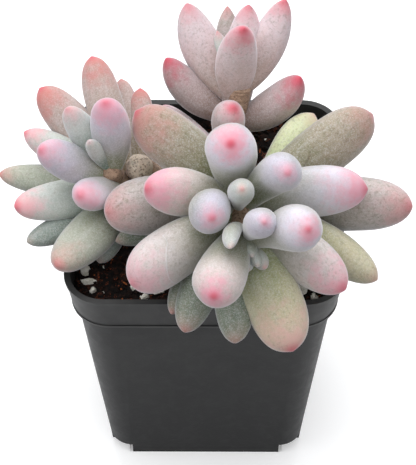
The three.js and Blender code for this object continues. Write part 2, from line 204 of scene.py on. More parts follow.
BACK_CROWN = {
    "radius": 2.9,
    "route": [(6, 19, 63), (6.5, 21, 70), (7.2, 22.5, 76), (7.7, 23.5, 80), (8, 24, 82)],
    "kinds": [
        (SLIM_FINGER, [
            (0.49, -5, 95, 24, 7, "moss", 0.3),
            (0.69, 7, 74, 21.5, 8.2, "mauve", 0.5),
            (0.9, -22, 80, 14, 4.4, "ice", 0.3),
            (0.59, -28, 75, 26, 10.4, "mauve", 0.4),
            (0.69, 27, 72, 25.5, 8.8, "mauve", 0.7),
            (0.36, -50, 65, 23, 9.2, "wine", 0.8),
            (0.29, 56, 56, 22.5, 9.8, "wine", 0.9),
            (0.4, 6, 45, 27, 9.8, "mauve", 0.9),
            (0.36, 8, 103, 19, 7.4, "mauve", 0.6),
            (0.28, -14, 106, 18, 7, "mauve", 0.6),
        ]),
        (SLIM_EGG, [
            (0.15, 4, 21, 18.2, 8.9, "mauve", 0.85, 0.3),
        ]),
    ],
}

# Lines on a leaf, by its turn and lean: from and to, each as a share of the leaf's half-width and of its
# length, how far the line bows in millimetres, and whether it has healed pale
MARKS = {
    (-123, 74): ((-0.8, 0.69), (0.75, 0.68), 2.4, True),
    (52, 94): ((-0.1, 0.22), (-0.62, 0.5), -0.3, False),
}
# The distance in millimetres that stands for no line on a leaf
NO_MARK = 9

# The old main stem was cut back: it ends in a healed stub, and the left crown grows from its side
TRUNK_ROUTE = [(-5, 5, 63), (-10, 1.6, 72), (-15.2, -2, 80.8)]
TRUNK_RADIUS = 3
STEM_DEPTH_IN_SOIL = 14

# Perlite grains and bark bits that lie half sunk in the soil: place, half-sizes, turn about Z in degrees
PERLITE = [
    ((-27.4, -18.3), (1.3, 1.9, 1.3), 10),
    ((-26.8, -21.7), (1.9, 0.9, 0.9), -5),
    ((-25.6, -24.4), (0.9, 0.9, 0.8), 0),
    ((-16, -23.4), (1.5, 1.4, 1.2), 30),
    ((-13.6, -26.3), (1, 0.9, 0.8), 60),
    ((-11, -25), (1.7, 0.8, 0.8), -12),
    ((21.6, -24.3), (2, 1.8, 1.6), 25),
    ((25, -26.4), (1.2, 1, 1), 70),
    ((22, 27), (2.5, 1.5, 1.4), -8),
    ((-12, 27), (1.6, 1.3, 1.1), 40),
    ((27.3, 8), (1.2, 1.7, 1.1), 15),
    ((-27, 12), (1.4, 1.2, 1), 80),
]
BARK = [
    ((-20.8, -25.3), (2.3, 0.7, 0.5), 4),
    ((-8.2, -27), (1.3, 0.8, 0.5), -20),
    ((24.4, 18), (2.6, 1.1, 0.6), 65),
    ((-21.5, 24), (2.8, 1, 0.6), -35),
]
# How far a grain's middle stands above the soil, as a share of its half-height
GRAIN_RAISED = 0.25

# Seeds of the random draws, how many bits are strewn before they join the piece, and how far inside the
# pot's rim the bits and the long fibres stay
CRUMB_SEED = 11
PERLITE_SEED = 5
BARK_SEED = 8
STREW_BATCH = 40
BIT_MARGIN = 3 * MM
FIBRE_MARGIN = 5 * MM

# Where along it a leaf's foot is full, how much its girth wavers, and at what share of its widest girth the
# tip's tiny point starts and how sharply it rises
LEAF_FOOT = 0.05
LEAF_WAVER = 0.05
NIB_START = 0.3
NIB_POWER = 1.5
# How far the blush reaches on a leaf whose blush is 0, and how much further on one whose blush is 1
BLUSH_REACH = 0.4
BLUSH_GAIN = 0.8
# How far each leaf's waver and skin pattern lie from the last one's, so that no two leaves are alike
WAVER_STEP = 7
SKIN_STEP = 40

# The stems' soft swellings and rough skin, as shares of their girth
STEM_SWELL = 0.02
STEM_ROUGH = 0.06

# Where the stub's scar faces, and the scar's size and its rim's width as shares of the stub's radius
STUB_SCAR = Vector((-0.31, -0.46, 0.83))
STUB_SCAR_SIZE = 0.34
STUB_RIM_WIDTH = 0.12
# The stub's girth as a share of the stem's, its lumps, its scar's raised rim and the hollow inside it
STUB_GIRTH = 1.06
STUB_LUMP = 0.05
STUB_RIM = 0.03
STUB_HOLLOW = 0.05
# How pale the scar's inside and the skin round it have healed
SCAR_HEALED = 0.75
STUB_HEALED = 0.55

# The pot's corners, the points round each, and how near in metres two places are taken as one
CORNERS = ((1, 1), (-1, 1), (-1, -1), (1, -1))
CORNER_STEPS = 12
TOLERANCE = 1e-6

# The soil's mound and lumps, in waves of so many radians a millimetre, and its crumbs' sizes in millimetres
MOUND_WAVE = 0.044
LUMP_WAVE = 0.6
LARGE_CRUMB = 2.6
MIDDLE_CRUMB = 1.5
SMALL_CRUMB = 0.7
# The radius of the corners that bits are strewn in, and how much the soil narrows down the collar
SOIL_CORNER = 8 * MM
SOIL_TAPER = 0.6 * MM

# A perlite grain is chipped flat on so many sides, each at a share of its half-size from its middle
PERLITE_CHIPS = 14
CHIP_DEPTHS = (0.62, 0.95)

# The studio, with its lengths in metres. The floor and the backdrop fill every view
FLOOR_HALF = 4
BACKDROP_RADIUS = 5
BACKDROP_STRENGTH = 1.05
ROOM_COLOUR = (0.98, 0.99, 1.0, 1.0)
LAMP_TARGET = Vector((0, 0, 0.07))

# The soft lamps' places and their size, in metres
LAMPS = {
    "key": (-0.1, 0.05, 0.95),
    "behind": (0, 0.9, 0.6),
    "left": (-0.9, -0.2, 0.55),
    "right": (0.9, -0.2, 0.55),
    "front": (0.25, -0.9, 0.7),
}
LAMP_SIZE = 0.8

# The photograph's viewpoint, found from the pot's corners. The lens and the sensor are in millimetres
CAMERA_ELEVATION = math.radians(48.7)
CAMERA_AZIMUTH = math.radians(0.6)
CAMERA_ROLL = math.radians(-0.3)
CAMERA_DISTANCE = 0.64
CAMERA_TARGET = Vector((0.0006, 0, 0.056))
CAMERA_LENS = 208.3
CAMERA_SENSOR = 36
CAMERA_CLIP = (0.01, 20)


def linear(hex_colour):
    """An sRGB hex colour as linear red, green and blue."""
    parts = [int(hex_colour[i:i + 2], 16) / 255 for i in (1, 3, 5)]
    return tuple(p / 12.92 if p <= 0.04045 else ((p + 0.055) / 1.055) ** 2.4 for p in parts)


def colour(name, description, hex_colour):
    """A colour setting."""
    return FloatVectorProperty(
        name=name,
        description=description,
        subtype="COLOR",
        min=0,
        max=1,
        default=linear(hex_colour),
    )


def length(name, description, millimetres):
    """A length setting, kept in metres."""
    return FloatProperty(name=name, description=description, unit="LENGTH", min=0, default=millimetres * MM)


def number(name, description, least, count):
    """A setting that counts something."""
    return IntProperty(name=name, description=description, min=least, default=count)


def strength(name, description, value):
    """A brightness setting, or watts for a lamp."""
    return FloatProperty(name=name, description=description, min=0, default=value)


class PotSettings(bpy.types.PropertyGroup):
    """The moulded plastic pot"""

    height: length("Height", "From the ground to the rim", 68)
    collar_height: length("Collar height", "Height of the deep collar", 10.2)
    rim_half: length("Rim half-width", "From the middle to the rim's outside", 32)
    rim_corner: length("Rim corner", "Radius of the collar's corners", 8.8)
    collar_foot_half: length("Collar foot half-width", "From the middle to the collar's foot", 30.6)
    body_top_half: length("Body top half-width", "Under the collar", 29.6)
    body_top_corner: length("Body top corner", "Radius of the body's corners under the collar", 8.2)
    body_foot_half: length("Body foot half-width", "Where the corners are cut back", 23.5)
    body_foot_corner: length("Body foot corner", "Radius of the body's corners at the foot", 5.5)
    foot_half: length("Foot half-width", "Half-width of the cross that the pot stands on", 18.7)
    corner_lift: length("Corner lift", "How high the four corners are carried", 3.4)
    floor: length("Floor", "Thickness of the floor", 1.4)
    wall: length("Wall", "Thickness of the wall", 1.2)
    bead_height: length("Bead height", "Height of the raised line at the collar's foot", 0.7)
    bead_proud: length("Bead proud", "How far the raised line stands out", 0.2)
    lip_height: length("Lip height", "Height of the thin lip at the rim", 1.0)
    lip_proud: length("Lip proud", "How far the lip stands out", 0.25)
    drain_radius: length("Drain hole radius", "Radius of the four drain holes", 1.4)
    drain_place: length("Drain hole place", "From the middle, along each side", 20.5)
    edge: length("Edge round", "Rounding of the moulded edges", 0.3)
    plastic: colour("Plastic", "Charcoal of the moulded plastic", "#0e0f11")
    # The colour of pale scuffs, and also of the painted highlights, painted reflection and painted shade on
    # the pot
    scuff_and_sheen: colour("Dust", "Dry dust and scuffs on the plastic", "#6c6c6b")


class SoilSettings(bpy.types.PropertyGroup):
    """The potting soil and what lies on it"""

    top: length("Top", "Height of the soil's surface", 63)
    mound: length("Mound", "How high the middle is heaped", 1.1)
    lump: length("Lumps", "Height of the soft lumps", 0.35)
    crumb: length("Crumb", "Height of the crumbs in the surface", 0.9)
    clearance: length("Clearance", "Between the soil and the pot", 0.3)
    cells: number("Cells", "Cells along each side of the surface", 20, 150)
    loose_crumbs: number("Loose crumbs", "Loose crumbs on the surface", 0, 1500)
    specks: number("Specks", "Tiny bits of perlite", 0, 60)
    chips: number("Chips", "Tiny slivers of bark", 0, 130)
    threads: number("Threads", "Long thin fibres", 0, 45)
    dark: colour("Dark soil", "Damp peat", "#0b0605")
    brown: colour("Brown soil", "Dry peat", "#321b13")
    fibre: colour("Fibre", "Reddish coconut fibre", "#8a4526")
    perlite: colour("Perlite", "Fired white grains", "#f6f3ea")
    stained: colour("Stained perlite", "Where soil and green film cling to a grain", "#a5a28c")
    bark: colour("Bark", "Broken faces of the bark", "#b9683a")
    bark_dark: colour("Dark bark", "Weathered faces of the bark", "#4d2c1b")


class LeafSettings(bpy.types.PropertyGroup):
    """The leaves' form and colours"""

    sides: number("Sides", "Faces round a leaf", 8, 36)
    rings: number("Rings", "Faces along a leaf", 8, 40)
    nib: length("Nib", "Length of the tiny point at a leaf's tip", 0.35)
    powder: colour("Powder", "Wax bloom on the skin", "#f6f4fa")
    freckle: colour("Freckle", "Brown freckles of old leaves", "#6f5f4b")
    deep_tip: colour("Deep tip", "The dot at the very tip", "#d64a60")
    stem: colour("Stem", "Corky skin of the stems", "#b89b86")
    stem_dark: colour("Dark stem", "Cracks and old scars on the stems", "#6a5442")
    callus: colour("Callus", "Healed scar of the cut stem", "#f0e6d6")
    rosy_cork: colour("Rosy cork", "Sunny side of the cut stem", "#c3a09a")


# Each colour family adds its three colours to the leaf settings
for family, (leaves, _, *hex_colours) in FAMILIES.items():
    for (tone, spot), hex_colour in zip(TONES.items(), hex_colours):
        setting = colour(f"{family.capitalize()} {tone}", f"{leaves}, {spot}", hex_colour)
        LeafSettings.__annotations__[f"{family}_{tone}"] = setting


class StudioSettings(bpy.types.PropertyGroup):
    """The studio round the plant"""

    above: strength("Light from above", "Brightness of the room's ceiling", 0.88)
    beside: strength("Light from beside", "Brightness of the walls", 0.07)
    below: strength("Light from below", "Brightness of what the table sends up", 0.36)
    key: strength("Key light", "Watts of the soft light overhead", 3.3)
    behind: strength("Light behind", "Watts of the soft light behind", 5.3)
    left: strength("Left light", "Watts of the soft light on the left", 3)
    right: strength("Right light", "Watts of the soft light on the right", 1.1)
    front: strength("Front light", "Watts of the soft light in front", 1.3)
    floor: colour("Floor", "Pale paper of the floor", "#f0f0f1")
    floor_glow: strength("Floor glow", "Light that the paper sends back", 0.3)


class PlantSettings(bpy.types.PropertyGroup):
    """Everything that a user may change"""

    pot: PointerProperty(type=PotSettings)
    soil: PointerProperty(type=SoilSettings)
    leaf: PointerProperty(type=LeafSettings)
    studio: PointerProperty(type=StudioSettings)


# The inputs of a Map Range node, which brings a value smoothly from one range to another, and of a colour
# Mix node. Blender gives the colours the same names as the plain numbers, so they go by their order
VALUE, LOW, HIGH, TO_LOW, TO_HIGH = range(5)
SMOOTH = {"interpolation_type": "SMOOTHSTEP"}
# Nearly all of a noise lies in this range
NOISY = {LOW: 0.3, HIGH: 0.7}
FACTOR, FIRST, SECOND = 0, 6, 7
COLOURS = {"data_type": "RGBA", "output": 2}
WHITE = (1.0, 1.0, 1.0, 1.0)


def add(tree, kind, inputs, output=0, **settings):
    """Adds a node with its settings and links, and gives an output. An input takes a value or an output."""
    node = tree.nodes.new(f"ShaderNode{kind}")
    for name, value in settings.items():
        setattr(node, name, value)
    for name, value in inputs.items():
        if isinstance(value, bpy.types.NodeSocket):
            tree.links.new(value, node.inputs[name])
        else:
            node.inputs[name].default_value = value
    return node.outputs[output] if node.outputs else None


def rgba(value):
    """A colour setting as a socket takes it."""
    return (*value, 1.0)


def bare_tree(owner):
    """The empty node tree of a new material or world."""
    owner.use_nodes = True
    owner.node_tree.nodes.clear()
    return owner.node_tree


def leaf_skin(look):
    """Succulent skin under wax bloom. The bloom makes it matt, chalky and bright along its edges."""
    made = bpy.data.materials.new("powdery leaf skin")
    tree = bare_tree(made)
    place = add(tree, "Attribute", {}, "Vector", attribute_name="skin_place")
    own = {name: add(tree, "Attribute", {}, "Fac", attribute_name=name) for name in VALUES}
    tone = {name: add(tree, "Attribute", {}, "Color", attribute_name=f"{name}_tone") for name in TONES}
    powder, freckle = rgba(look.powder), rgba(look.freckle)

    # Blotches are 5 mm across, patches 1.8 mm, mottling 0.7 mm, powder grains 0.3 mm, streaks 1.4 mm
    blotch = add(tree, "TexNoise", {"Vector": place, "Scale": 1 / 5, "Detail": 3, "Roughness": 0.55})
    patch = add(tree, "TexNoise", {"Vector": place, "Scale": 1 / 1.8, "Detail": 4, "Roughness": 0.6})
    mottle = add(tree, "TexNoise", {"Vector": place, "Scale": 1 / 0.7, "Detail": 3, "Roughness": 0.65})
    grain = add(tree, "TexNoise", {"Vector": place, "Scale": 1 / 0.3, "Detail": 2, "Roughness": 0.6})
    long_way = add(tree, "Mapping", {"Vector": place, "Scale": (1, 1, 0.16)})
    streak = add(tree, "TexNoise", {"Vector": long_way, "Scale": 1 / 1.4, "Detail": 3, "Roughness": 0.55})

    # The green of the base runs up a leaf with a soft, uneven edge, further up on its lower side. The extra
    # green on the lower side is partly the underside's own skin and partly painted shade
    waver = add(tree, "Math", {0: blotch, 1: 0.3, 2: -0.15}, operation="MULTIPLY_ADD")
    wavering = add(tree, "Math", {0: own["along"], 1: waver}, operation="ADD")
    shaded = add(tree, "Math", {0: own["lower_side"], 1: 0.3}, operation="MULTIPLY")
    greening = add(tree, "Math", {0: wavering, 1: shaded}, operation="SUBTRACT")
    grown = add(tree, "MapRange", {VALUE: greening, LOW: 0.08, HIGH: 0.82}, **SMOOTH)
    skin = add(tree, "Mix", {FACTOR: grown, FIRST: tone["base"], SECOND: tone["body"]}, **COLOURS)

    # Older skin has patches where the bloom is thin, through which the green comes
    bare = add(tree, "MapRange", {VALUE: patch, LOW: 0.45, HIGH: 0.72, TO_HIGH: 0.35}, **SMOOTH)
    thin = add(tree, "Math", {0: bare, 1: own["freckled"]}, operation="MULTIPLY")
    skin = add(tree, "Mix", {FACTOR: thin, FIRST: skin, SECOND: tone["base"]}, **COLOURS)
    streaky = add(tree, "MapRange", {VALUE: streak, LOW: 0.4, HIGH: 0.8, TO_HIGH: 0.12}, **SMOOTH)
    skin = add(tree, "Mix", {FACTOR: streaky, FIRST: skin, SECOND: powder}, **COLOURS)
    grainy = add(tree, "MapRange", {VALUE: grain, LOW: 0.42, HIGH: 0.72, TO_HIGH: 0.28}, **SMOOTH)
    skin = add(tree, "Mix", {FACTOR: grainy, FIRST: skin, SECOND: powder}, **COLOURS)
    mottled = add(tree, "MapRange", {VALUE: mottle, LOW: 0.48, HIGH: 0.7}, **SMOOTH)
    speckled = add(tree, "MapRange", {VALUE: own["freckled"], TO_LOW: 0.08, TO_HIGH: 0.3}, **SMOOTH)
    speckle = add(tree, "Math", {0: mottled, 1: speckled}, operation="MULTIPLY")
    skin = add(tree, "Mix", {FACTOR: speckle, FIRST: skin, SECOND: freckle}, **COLOURS)

    # The blush fades unevenly down the leaf from its tip
    patchy = add(tree, "MapRange", {VALUE: patch, **NOISY, TO_LOW: -0.12, TO_HIGH: 0.12}, **SMOOTH)
    blotchy = add(tree, "MapRange", {VALUE: blotch, **NOISY, TO_LOW: -0.15, TO_HIGH: 0.15}, **SMOOTH)
    uneven = add(tree, "Math", {0: patchy, 1: blotchy}, operation="ADD")
    from_tip = add(tree, "Math", {0: own["tip_gap"], 1: uneven}, operation="ADD")
    near_tip = add(tree, "MapRange", {VALUE: from_tip, LOW: 1.0, HIGH: 0.0}, **SMOOTH)
    blushing = add(tree, "MapRange", {VALUE: own["blush"], TO_LOW: 0.3, TO_HIGH: 0.85}, **SMOOTH)
    rosy = add(tree, "Math", {0: near_tip, 1: blushing}, operation="MULTIPLY")
    skin = add(tree, "Mix", {FACTOR: rosy, FIRST: skin, SECOND: tone["tip"]}, **COLOURS)
    # At the very tip it ends in a small deep dot
    near_dot = add(tree, "MapRange", {VALUE: own["dot_gap"], LOW: 1.3, HIGH: 0.1, TO_HIGH: 0.8}, **SMOOTH)
    dot = add(tree, "Math", {0: near_dot, 1: own["blush"]}, operation="MULTIPLY")
    skin = add(tree, "Mix", {FACTOR: dot, FIRST: skin, SECOND: rgba(look.deep_tip)}, **COLOURS)

    # Freckles gather in drifts. Real ones are finer than 0.3 mm and are drawn at 0.7 mm so that they show
    drifting = add(tree, "MapRange", {VALUE: blotch, LOW: 0.4, HIGH: 0.62}, **SMOOTH)
    drift = add(tree, "Math", {0: drifting, 1: own["freckled"]}, operation="MULTIPLY")
    flecked = add(tree, "MapRange", {VALUE: mottle, LOW: 0.52, HIGH: 0.66, TO_HIGH: 0.28}, **SMOOTH)
    fleck = add(tree, "Math", {0: flecked, 1: drift}, operation="MULTIPLY")
    skin = add(tree, "Mix", {FACTOR: fleck, FIRST: skin, SECOND: freckle}, **COLOURS)

    # A crease is a line across the leaf, pale once it has healed and dark while it is fresh
    gap = add(tree, "Math", {0: own["mark_gap"]}, operation="ABSOLUTE")
    line = add(tree, "MapRange", {VALUE: gap, LOW: 0.32, HIGH: 0.1}, **SMOOTH)
    line_tone = add(tree, "Mix", {FACTOR: own["healed"], FIRST: freckle, SECOND: powder}, **COLOURS)
    faint_line = add(tree, "Math", {0: line, 1: 0.35}, operation="MULTIPLY")
    skin = add(tree, "Mix", {FACTOR: faint_line, FIRST: skin, SECOND: line_tone}, **COLOURS)

    soft = add(tree, "Bump", {"Height": patch, "Distance": 0.3 * MM, "Strength": 0.35})
    ridge = add(tree, "Bump", {"Height": line, "Distance": 0.25 * MM, "Strength": 0.5, "Normal": soft})
    powdery = add(tree, "Bump", {"Height": grain, "Distance": 0.06 * MM, "Strength": 0.35, "Normal": ridge})
    shader = add(tree, "BsdfPrincipled", {
        "Base Color": skin,
        "Roughness": add(tree, "MapRange", {VALUE: patch, **NOISY, TO_LOW: 0.55, TO_HIGH: 0.7}, **SMOOTH),
        "Specular IOR Level": 0.3,
        "IOR": 1.4,
        "Subsurface Weight": 0.2,
        "Subsurface Radius": (1.0, 0.6, 0.45),
        "Subsurface Scale": 1.5 * MM,
        "Sheen Weight": 1.0,
        "Sheen Roughness": 0.4,
        "Sheen Tint": powder,
        "Normal": powdery,
    })
    add(tree, "OutputMaterial", {"Surface": shader})
    return made


def stem_skin(look):
    """Corky stem skin, dry and dull, with fine cracks along it and specks where leaves have dropped."""
    made = bpy.data.materials.new("corky stem skin")
    tree = bare_tree(made)
    place = add(tree, "Attribute", {}, "Vector", attribute_name="skin_place")
    rosy = add(tree, "Attribute", {}, "Fac", attribute_name="blush")
    healed = add(tree, "Attribute", {}, "Fac", attribute_name="healed")
    dark = rgba(look.stem_dark)
    # Cracks are 0.7 mm apart and run along the stem, clouds are 2.2 mm across and specks 0.5 mm
    long_way = add(tree, "Mapping", {"Vector": place, "Scale": (1, 1, 0.3)})
    streak = add(tree, "TexNoise", {"Vector": long_way, "Scale": 1 / 0.7, "Detail": 4, "Roughness": 0.6})
    cloud = add(tree, "TexNoise", {"Vector": place, "Scale": 1 / 2.2, "Detail": 3, "Roughness": 0.6})
    fine = add(tree, "TexNoise", {"Vector": place, "Scale": 1 / 0.5, "Detail": 2, "Roughness": 0.6})
    speck = add(tree, "MapRange", {VALUE: fine, LOW: 0.54, HIGH: 0.62}, **SMOOTH)
    clouded = add(tree, "MapRange", {VALUE: cloud, LOW: 0.35, HIGH: 0.7, TO_HIGH: 0.4}, **SMOOTH)
    skin = add(tree, "Mix", {FACTOR: clouded, FIRST: rgba(look.stem), SECOND: dark}, **COLOURS)
    skin = add(tree, "Mix", {FACTOR: rosy, FIRST: skin, SECOND: rgba(look.rosy_cork)}, **COLOURS)
    cracked = add(tree, "MapRange", {VALUE: streak, LOW: 0.45, HIGH: 0.72, TO_HIGH: 0.35}, **SMOOTH)
    skin = add(tree, "Mix", {FACTOR: cracked, FIRST: skin, SECOND: dark}, **COLOURS)
    skin = add(tree, "Mix", {FACTOR: healed, FIRST: skin, SECOND: rgba(look.callus)}, **COLOURS)
    faint_speck = add(tree, "Math", {0: speck, 1: 0.7}, operation="MULTIPLY")
    skin = add(tree, "Mix", {FACTOR: faint_speck, FIRST: skin, SECOND: dark}, **COLOURS)
    pitted = add(tree, "Math", {0: cloud, 1: speck}, operation="SUBTRACT")
    shader = add(tree, "BsdfPrincipled", {
        "Base Color": skin,
        "Roughness": 0.75,
        "Specular IOR Level": 0.25,
        "Subsurface Weight": 0.1,
        "Subsurface Radius": (1.0, 0.6, 0.3),
        "Subsurface Scale": 1 * MM,
        "Sheen Weight": 0.15,
        "Normal": add(tree, "Bump", {"Height": pitted, "Distance": 0.2 * MM, "Strength": 0.5}),
    })
    add(tree, "OutputMaterial", {"Surface": shader})
    return made


def pot_plastic(look):
    """Moulded polypropylene, charcoal and satin: dull sheen, fine grain and pale scuffs. The same pale
    colour also paints light on it: a painted reflection that makes the collar lighter, painted shade that
    darkens the body towards its foot, and painted highlights along the raised line and the lip.
    """
    made = bpy.data.materials.new("satin charcoal plastic")
    tree = bare_tree(made)
    place = add(tree, "TexCoord", {}, "Object")
    # Grain is 0.4 mm, scuffs 2.5 mm, and the clouds that make the painted light uneven are 12 mm
    grain = add(tree, "TexNoise", {"Vector": place, "Scale": 1 / (0.4 * MM), "Detail": 2, "Roughness": 0.6})
    scuff = add(tree, "TexNoise", {"Vector": place, "Scale": 1 / (2.5 * MM), "Detail": 5, "Roughness": 0.65})
    cloud = add(tree, "TexNoise", {"Vector": place, "Scale": 1 / (12 * MM), "Detail": 3, "Roughness": 0.5})
    height = add(tree, "SeparateXYZ", {0: place}, "Z")
    # Painted light: the collar is painted lighter as a painted reflection, and the body is painted lighter
    # towards the collar and darker towards its foot as painted shade
    collar_foot = look.height - look.collar_height
    collar_sheen_step = {VALUE: height, LOW: collar_foot - 0.3 * MM, HIGH: collar_foot + 0.3 * MM, TO_HIGH: 0.13}
    painted_collar_sheen = add(tree, "MapRange", collar_sheen_step, **SMOOTH)
    body_shade_fade = {VALUE: height, LOW: 0.1 * collar_foot, HIGH: collar_foot, TO_HIGH: 0.06}
    painted_body_shade = add(tree, "MapRange", body_shade_fade, **SMOOTH)
    # The raised line and the lip are painted pale, as painted highlights
    bead_middle = collar_foot + look.bead_height / 2
    over_bead = add(tree, "Math", {0: height, 1: bead_middle}, operation="SUBTRACT")
    from_bead = add(tree, "Math", {0: over_bead}, operation="ABSOLUTE")
    bead_highlight_fade = {VALUE: from_bead, LOW: 0.7 * look.bead_height, HIGH: 0.3 * look.bead_height, TO_HIGH: 0.1}
    painted_bead_highlight = add(tree, "MapRange", bead_highlight_fade, **SMOOTH)
    lip_foot = look.height - look.lip_height
    lip_highlight_fade = {VALUE: height, LOW: lip_foot, HIGH: lip_foot + 0.5 * look.lip_height, TO_HIGH: 0.05}
    painted_lip_highlight = add(tree, "MapRange", lip_highlight_fade, **SMOOTH)
    painted_edge_highlights = add(tree, "Math", {0: painted_bead_highlight, 1: painted_lip_highlight}, operation="ADD")
    painted_wall_light = add(tree, "Math", {0: painted_collar_sheen, 1: painted_body_shade}, operation="ADD")
    # All the painted light on the pot: the painted highlights, the collar's painted reflection and the
    # body's painted shade
    film = add(tree, "Math", {0: painted_edge_highlights, 1: painted_wall_light}, operation="ADD")
    drift = add(tree, "MapRange", {VALUE: cloud, **NOISY, TO_LOW: 0.6, TO_HIGH: 1.4}, **SMOOTH)
    uneven_painted_light = add(tree, "Math", {0: film, 1: drift}, operation="MULTIPLY")
    scuffed = add(tree, "MapRange", {VALUE: scuff, LOW: 0.5, HIGH: 0.75, TO_HIGH: 0.05}, **SMOOTH)
    scuffs_and_painted_light = add(tree, "Math", {0: scuffed, 1: uneven_painted_light}, operation="ADD")
    skin = add(tree, "Mix", {FACTOR: scuffs_and_painted_light, FIRST: rgba(look.plastic), SECOND: rgba(look.scuff_and_sheen)}, **COLOURS)
    shader = add(tree, "BsdfPrincipled", {
        "Base Color": skin,
        "Roughness": add(tree, "MapRange", {VALUE: scuff, **NOISY, TO_LOW: 0.42, TO_HIGH: 0.52}, **SMOOTH),
        "IOR": 1.49,
        "Specular IOR Level": 0.22,
        "Normal": add(tree, "Bump", {"Height": grain, "Distance": 0.05 * MM, "Strength": 0.3}),
    })
    add(tree, "OutputMaterial", {"Surface": shader})
    return made


def damp_soil(look):
    """Damp peat with coconut fibre: nearly black, dull, with brown and reddish crumbs."""
    made = bpy.data.materials.new("damp peat soil")
    tree = bare_tree(made)
    place = add(tree, "TexCoord", {}, "Object")
    # Crumbs are 0.7 mm across, damp patches 8 mm, and fibres 0.3 mm
    crumbs = add(tree, "TexVoronoi", {"Vector": place, "Scale": 1 / (0.7 * MM)}, "Color")
    tint = add(tree, "SeparateColor", {0: crumbs})
    damp = add(tree, "TexNoise", {"Vector": place, "Scale": 1 / (8 * MM), "Detail": 3, "Roughness": 0.5})
    fine = add(tree, "TexNoise", {"Vector": place, "Scale": 1 / (0.3 * MM), "Detail": 3, "Roughness": 0.6})
    dry = add(tree, "MapRange", {VALUE: tint, LOW: 0.25, HIGH: 1.0}, **SMOOTH)
    skin = add(tree, "Mix", {FACTOR: dry, FIRST: rgba(look.dark), SECOND: rgba(look.brown)}, **COLOURS)
    damped = add(tree, "MapRange", {VALUE: damp, LOW: 0.45, HIGH: 0.7, TO_HIGH: 0.6}, **SMOOTH)
    skin = add(tree, "Mix", {FACTOR: damped, FIRST: skin, SECOND: rgba(look.dark)}, **COLOURS)
    reddish = add(tree, "Math", {0: tint, 1: fine}, operation="MULTIPLY")
    fibrous = add(tree, "MapRange", {VALUE: reddish, LOW: 0.49, HIGH: 0.57}, **SMOOTH)
    shader = add(tree, "BsdfPrincipled", {
        "Base Color": add(tree, "Mix", {FACTOR: fibrous, FIRST: skin, SECOND: rgba(look.fibre)}, **COLOURS),
        "Roughness": 0.85,
        "Specular IOR Level": 0.25,
        "Normal": add(tree, "Bump", {"Height": fine, "Distance": 0.3 * MM, "Strength": 0.8}),
    })
    add(tree, "OutputMaterial", {"Surface": shader})
    return made


def perlite_stone(look):
    """Perlite, popped by heat: chalky white, full of pores, stained where soil and green film cling."""
    made = bpy.data.materials.new("popped perlite")
    tree = bare_tree(made)
    place = add(tree, "TexCoord", {}, "Object")
    stained = rgba(look.stained)
    # Pores are 0.35 mm across, stains 1.8 mm
    pores = add(tree, "TexVoronoi", {"Vector": place, "Scale": 1 / (0.35 * MM)}, "Distance")
    stain = add(tree, "TexNoise", {"Vector": place, "Scale": 1 / (1.8 * MM), "Detail": 3, "Roughness": 0.6})
    dirty = add(tree, "MapRange", {VALUE: stain, LOW: 0.46, HIGH: 0.7, TO_HIGH: 0.6}, **SMOOTH)
    skin = add(tree, "Mix", {FACTOR: dirty, FIRST: rgba(look.perlite), SECOND: stained}, **COLOURS)
    in_pore = add(tree, "MapRange", {VALUE: pores, LOW: 0.35, HIGH: 0.05, TO_HIGH: 0.5}, **SMOOTH)
    shader = add(tree, "BsdfPrincipled", {
        "Base Color": add(tree, "Mix", {FACTOR: in_pore, FIRST: skin, SECOND: stained}, **COLOURS),
        "Roughness": 0.95,
        "Specular IOR Level": 0.2,
        "Normal": add(tree, "Bump", {"Height": pores, "Distance": 0.25 * MM, "Strength": 0.8}),
    })
    add(tree, "OutputMaterial", {"Surface": shader})
    return made


def bark_wood(look):
    """Broken bark: dull orange-brown wood with a fibrous grain."""
    made = bpy.data.materials.new("broken bark")
    tree = bare_tree(made)
    place = add(tree, "TexCoord", {}, "Object")
    # The fibres are 0.5 mm apart and run along X
    fibre_way = add(tree, "Mapping", {"Vector": place, "Scale": (0.2, 1, 1)})
    fibrous = {"Vector": fibre_way, "Scale": 1 / (0.5 * MM), "Detail": 4, "Roughness": 0.6}
    fibres = add(tree, "TexNoise", fibrous)
    pale = add(tree, "MapRange", {VALUE: fibres, LOW: 0.35, HIGH: 0.65}, **SMOOTH)
    skin = add(tree, "Mix", {FACTOR: pale, FIRST: rgba(look.bark_dark), SECOND: rgba(look.bark)}, **COLOURS)
    shader = add(tree, "BsdfPrincipled", {
        "Base Color": skin,
        "Roughness": 0.9,
        "Specular IOR Level": 0.2,
        "Normal": add(tree, "Bump", {"Height": fibres, "Distance": 0.3 * MM, "Strength": 0.8}),
    })
    add(tree, "OutputMaterial", {"Surface": shader})
    return made


def floor_paper(look):
    """Seamless studio paper: matt and nearly white, bright enough to lose its edge."""
    made = bpy.data.materials.new("pale studio paper")
    tree = bare_tree(made)
    place = add(tree, "TexCoord", {}, "Object")
    # The paper's clouds are 50 mm across
    cloud = add(tree, "TexNoise", {"Vector": place, "Scale": 1 / (50 * MM), "Detail": 2, "Roughness": 0.5})
    greyed = add(tree, "MapRange", {VALUE: cloud, LOW: 0.2, HIGH: 0.8, TO_HIGH: 0.02}, **SMOOTH)
    grey = (0.8, 0.8, 0.82, 1.0)
    shader = add(tree, "BsdfPrincipled", {
        "Base Color": add(tree, "Mix", {FACTOR: greyed, FIRST: rgba(look.floor), SECOND: grey}, **COLOURS),
        "Roughness": 0.9,
        "Specular IOR Level": 0.1,
        "Emission Color": WHITE,
        "Emission Strength": look.floor_glow,
    })
    add(tree, "OutputMaterial", {"Surface": shader})
    return made


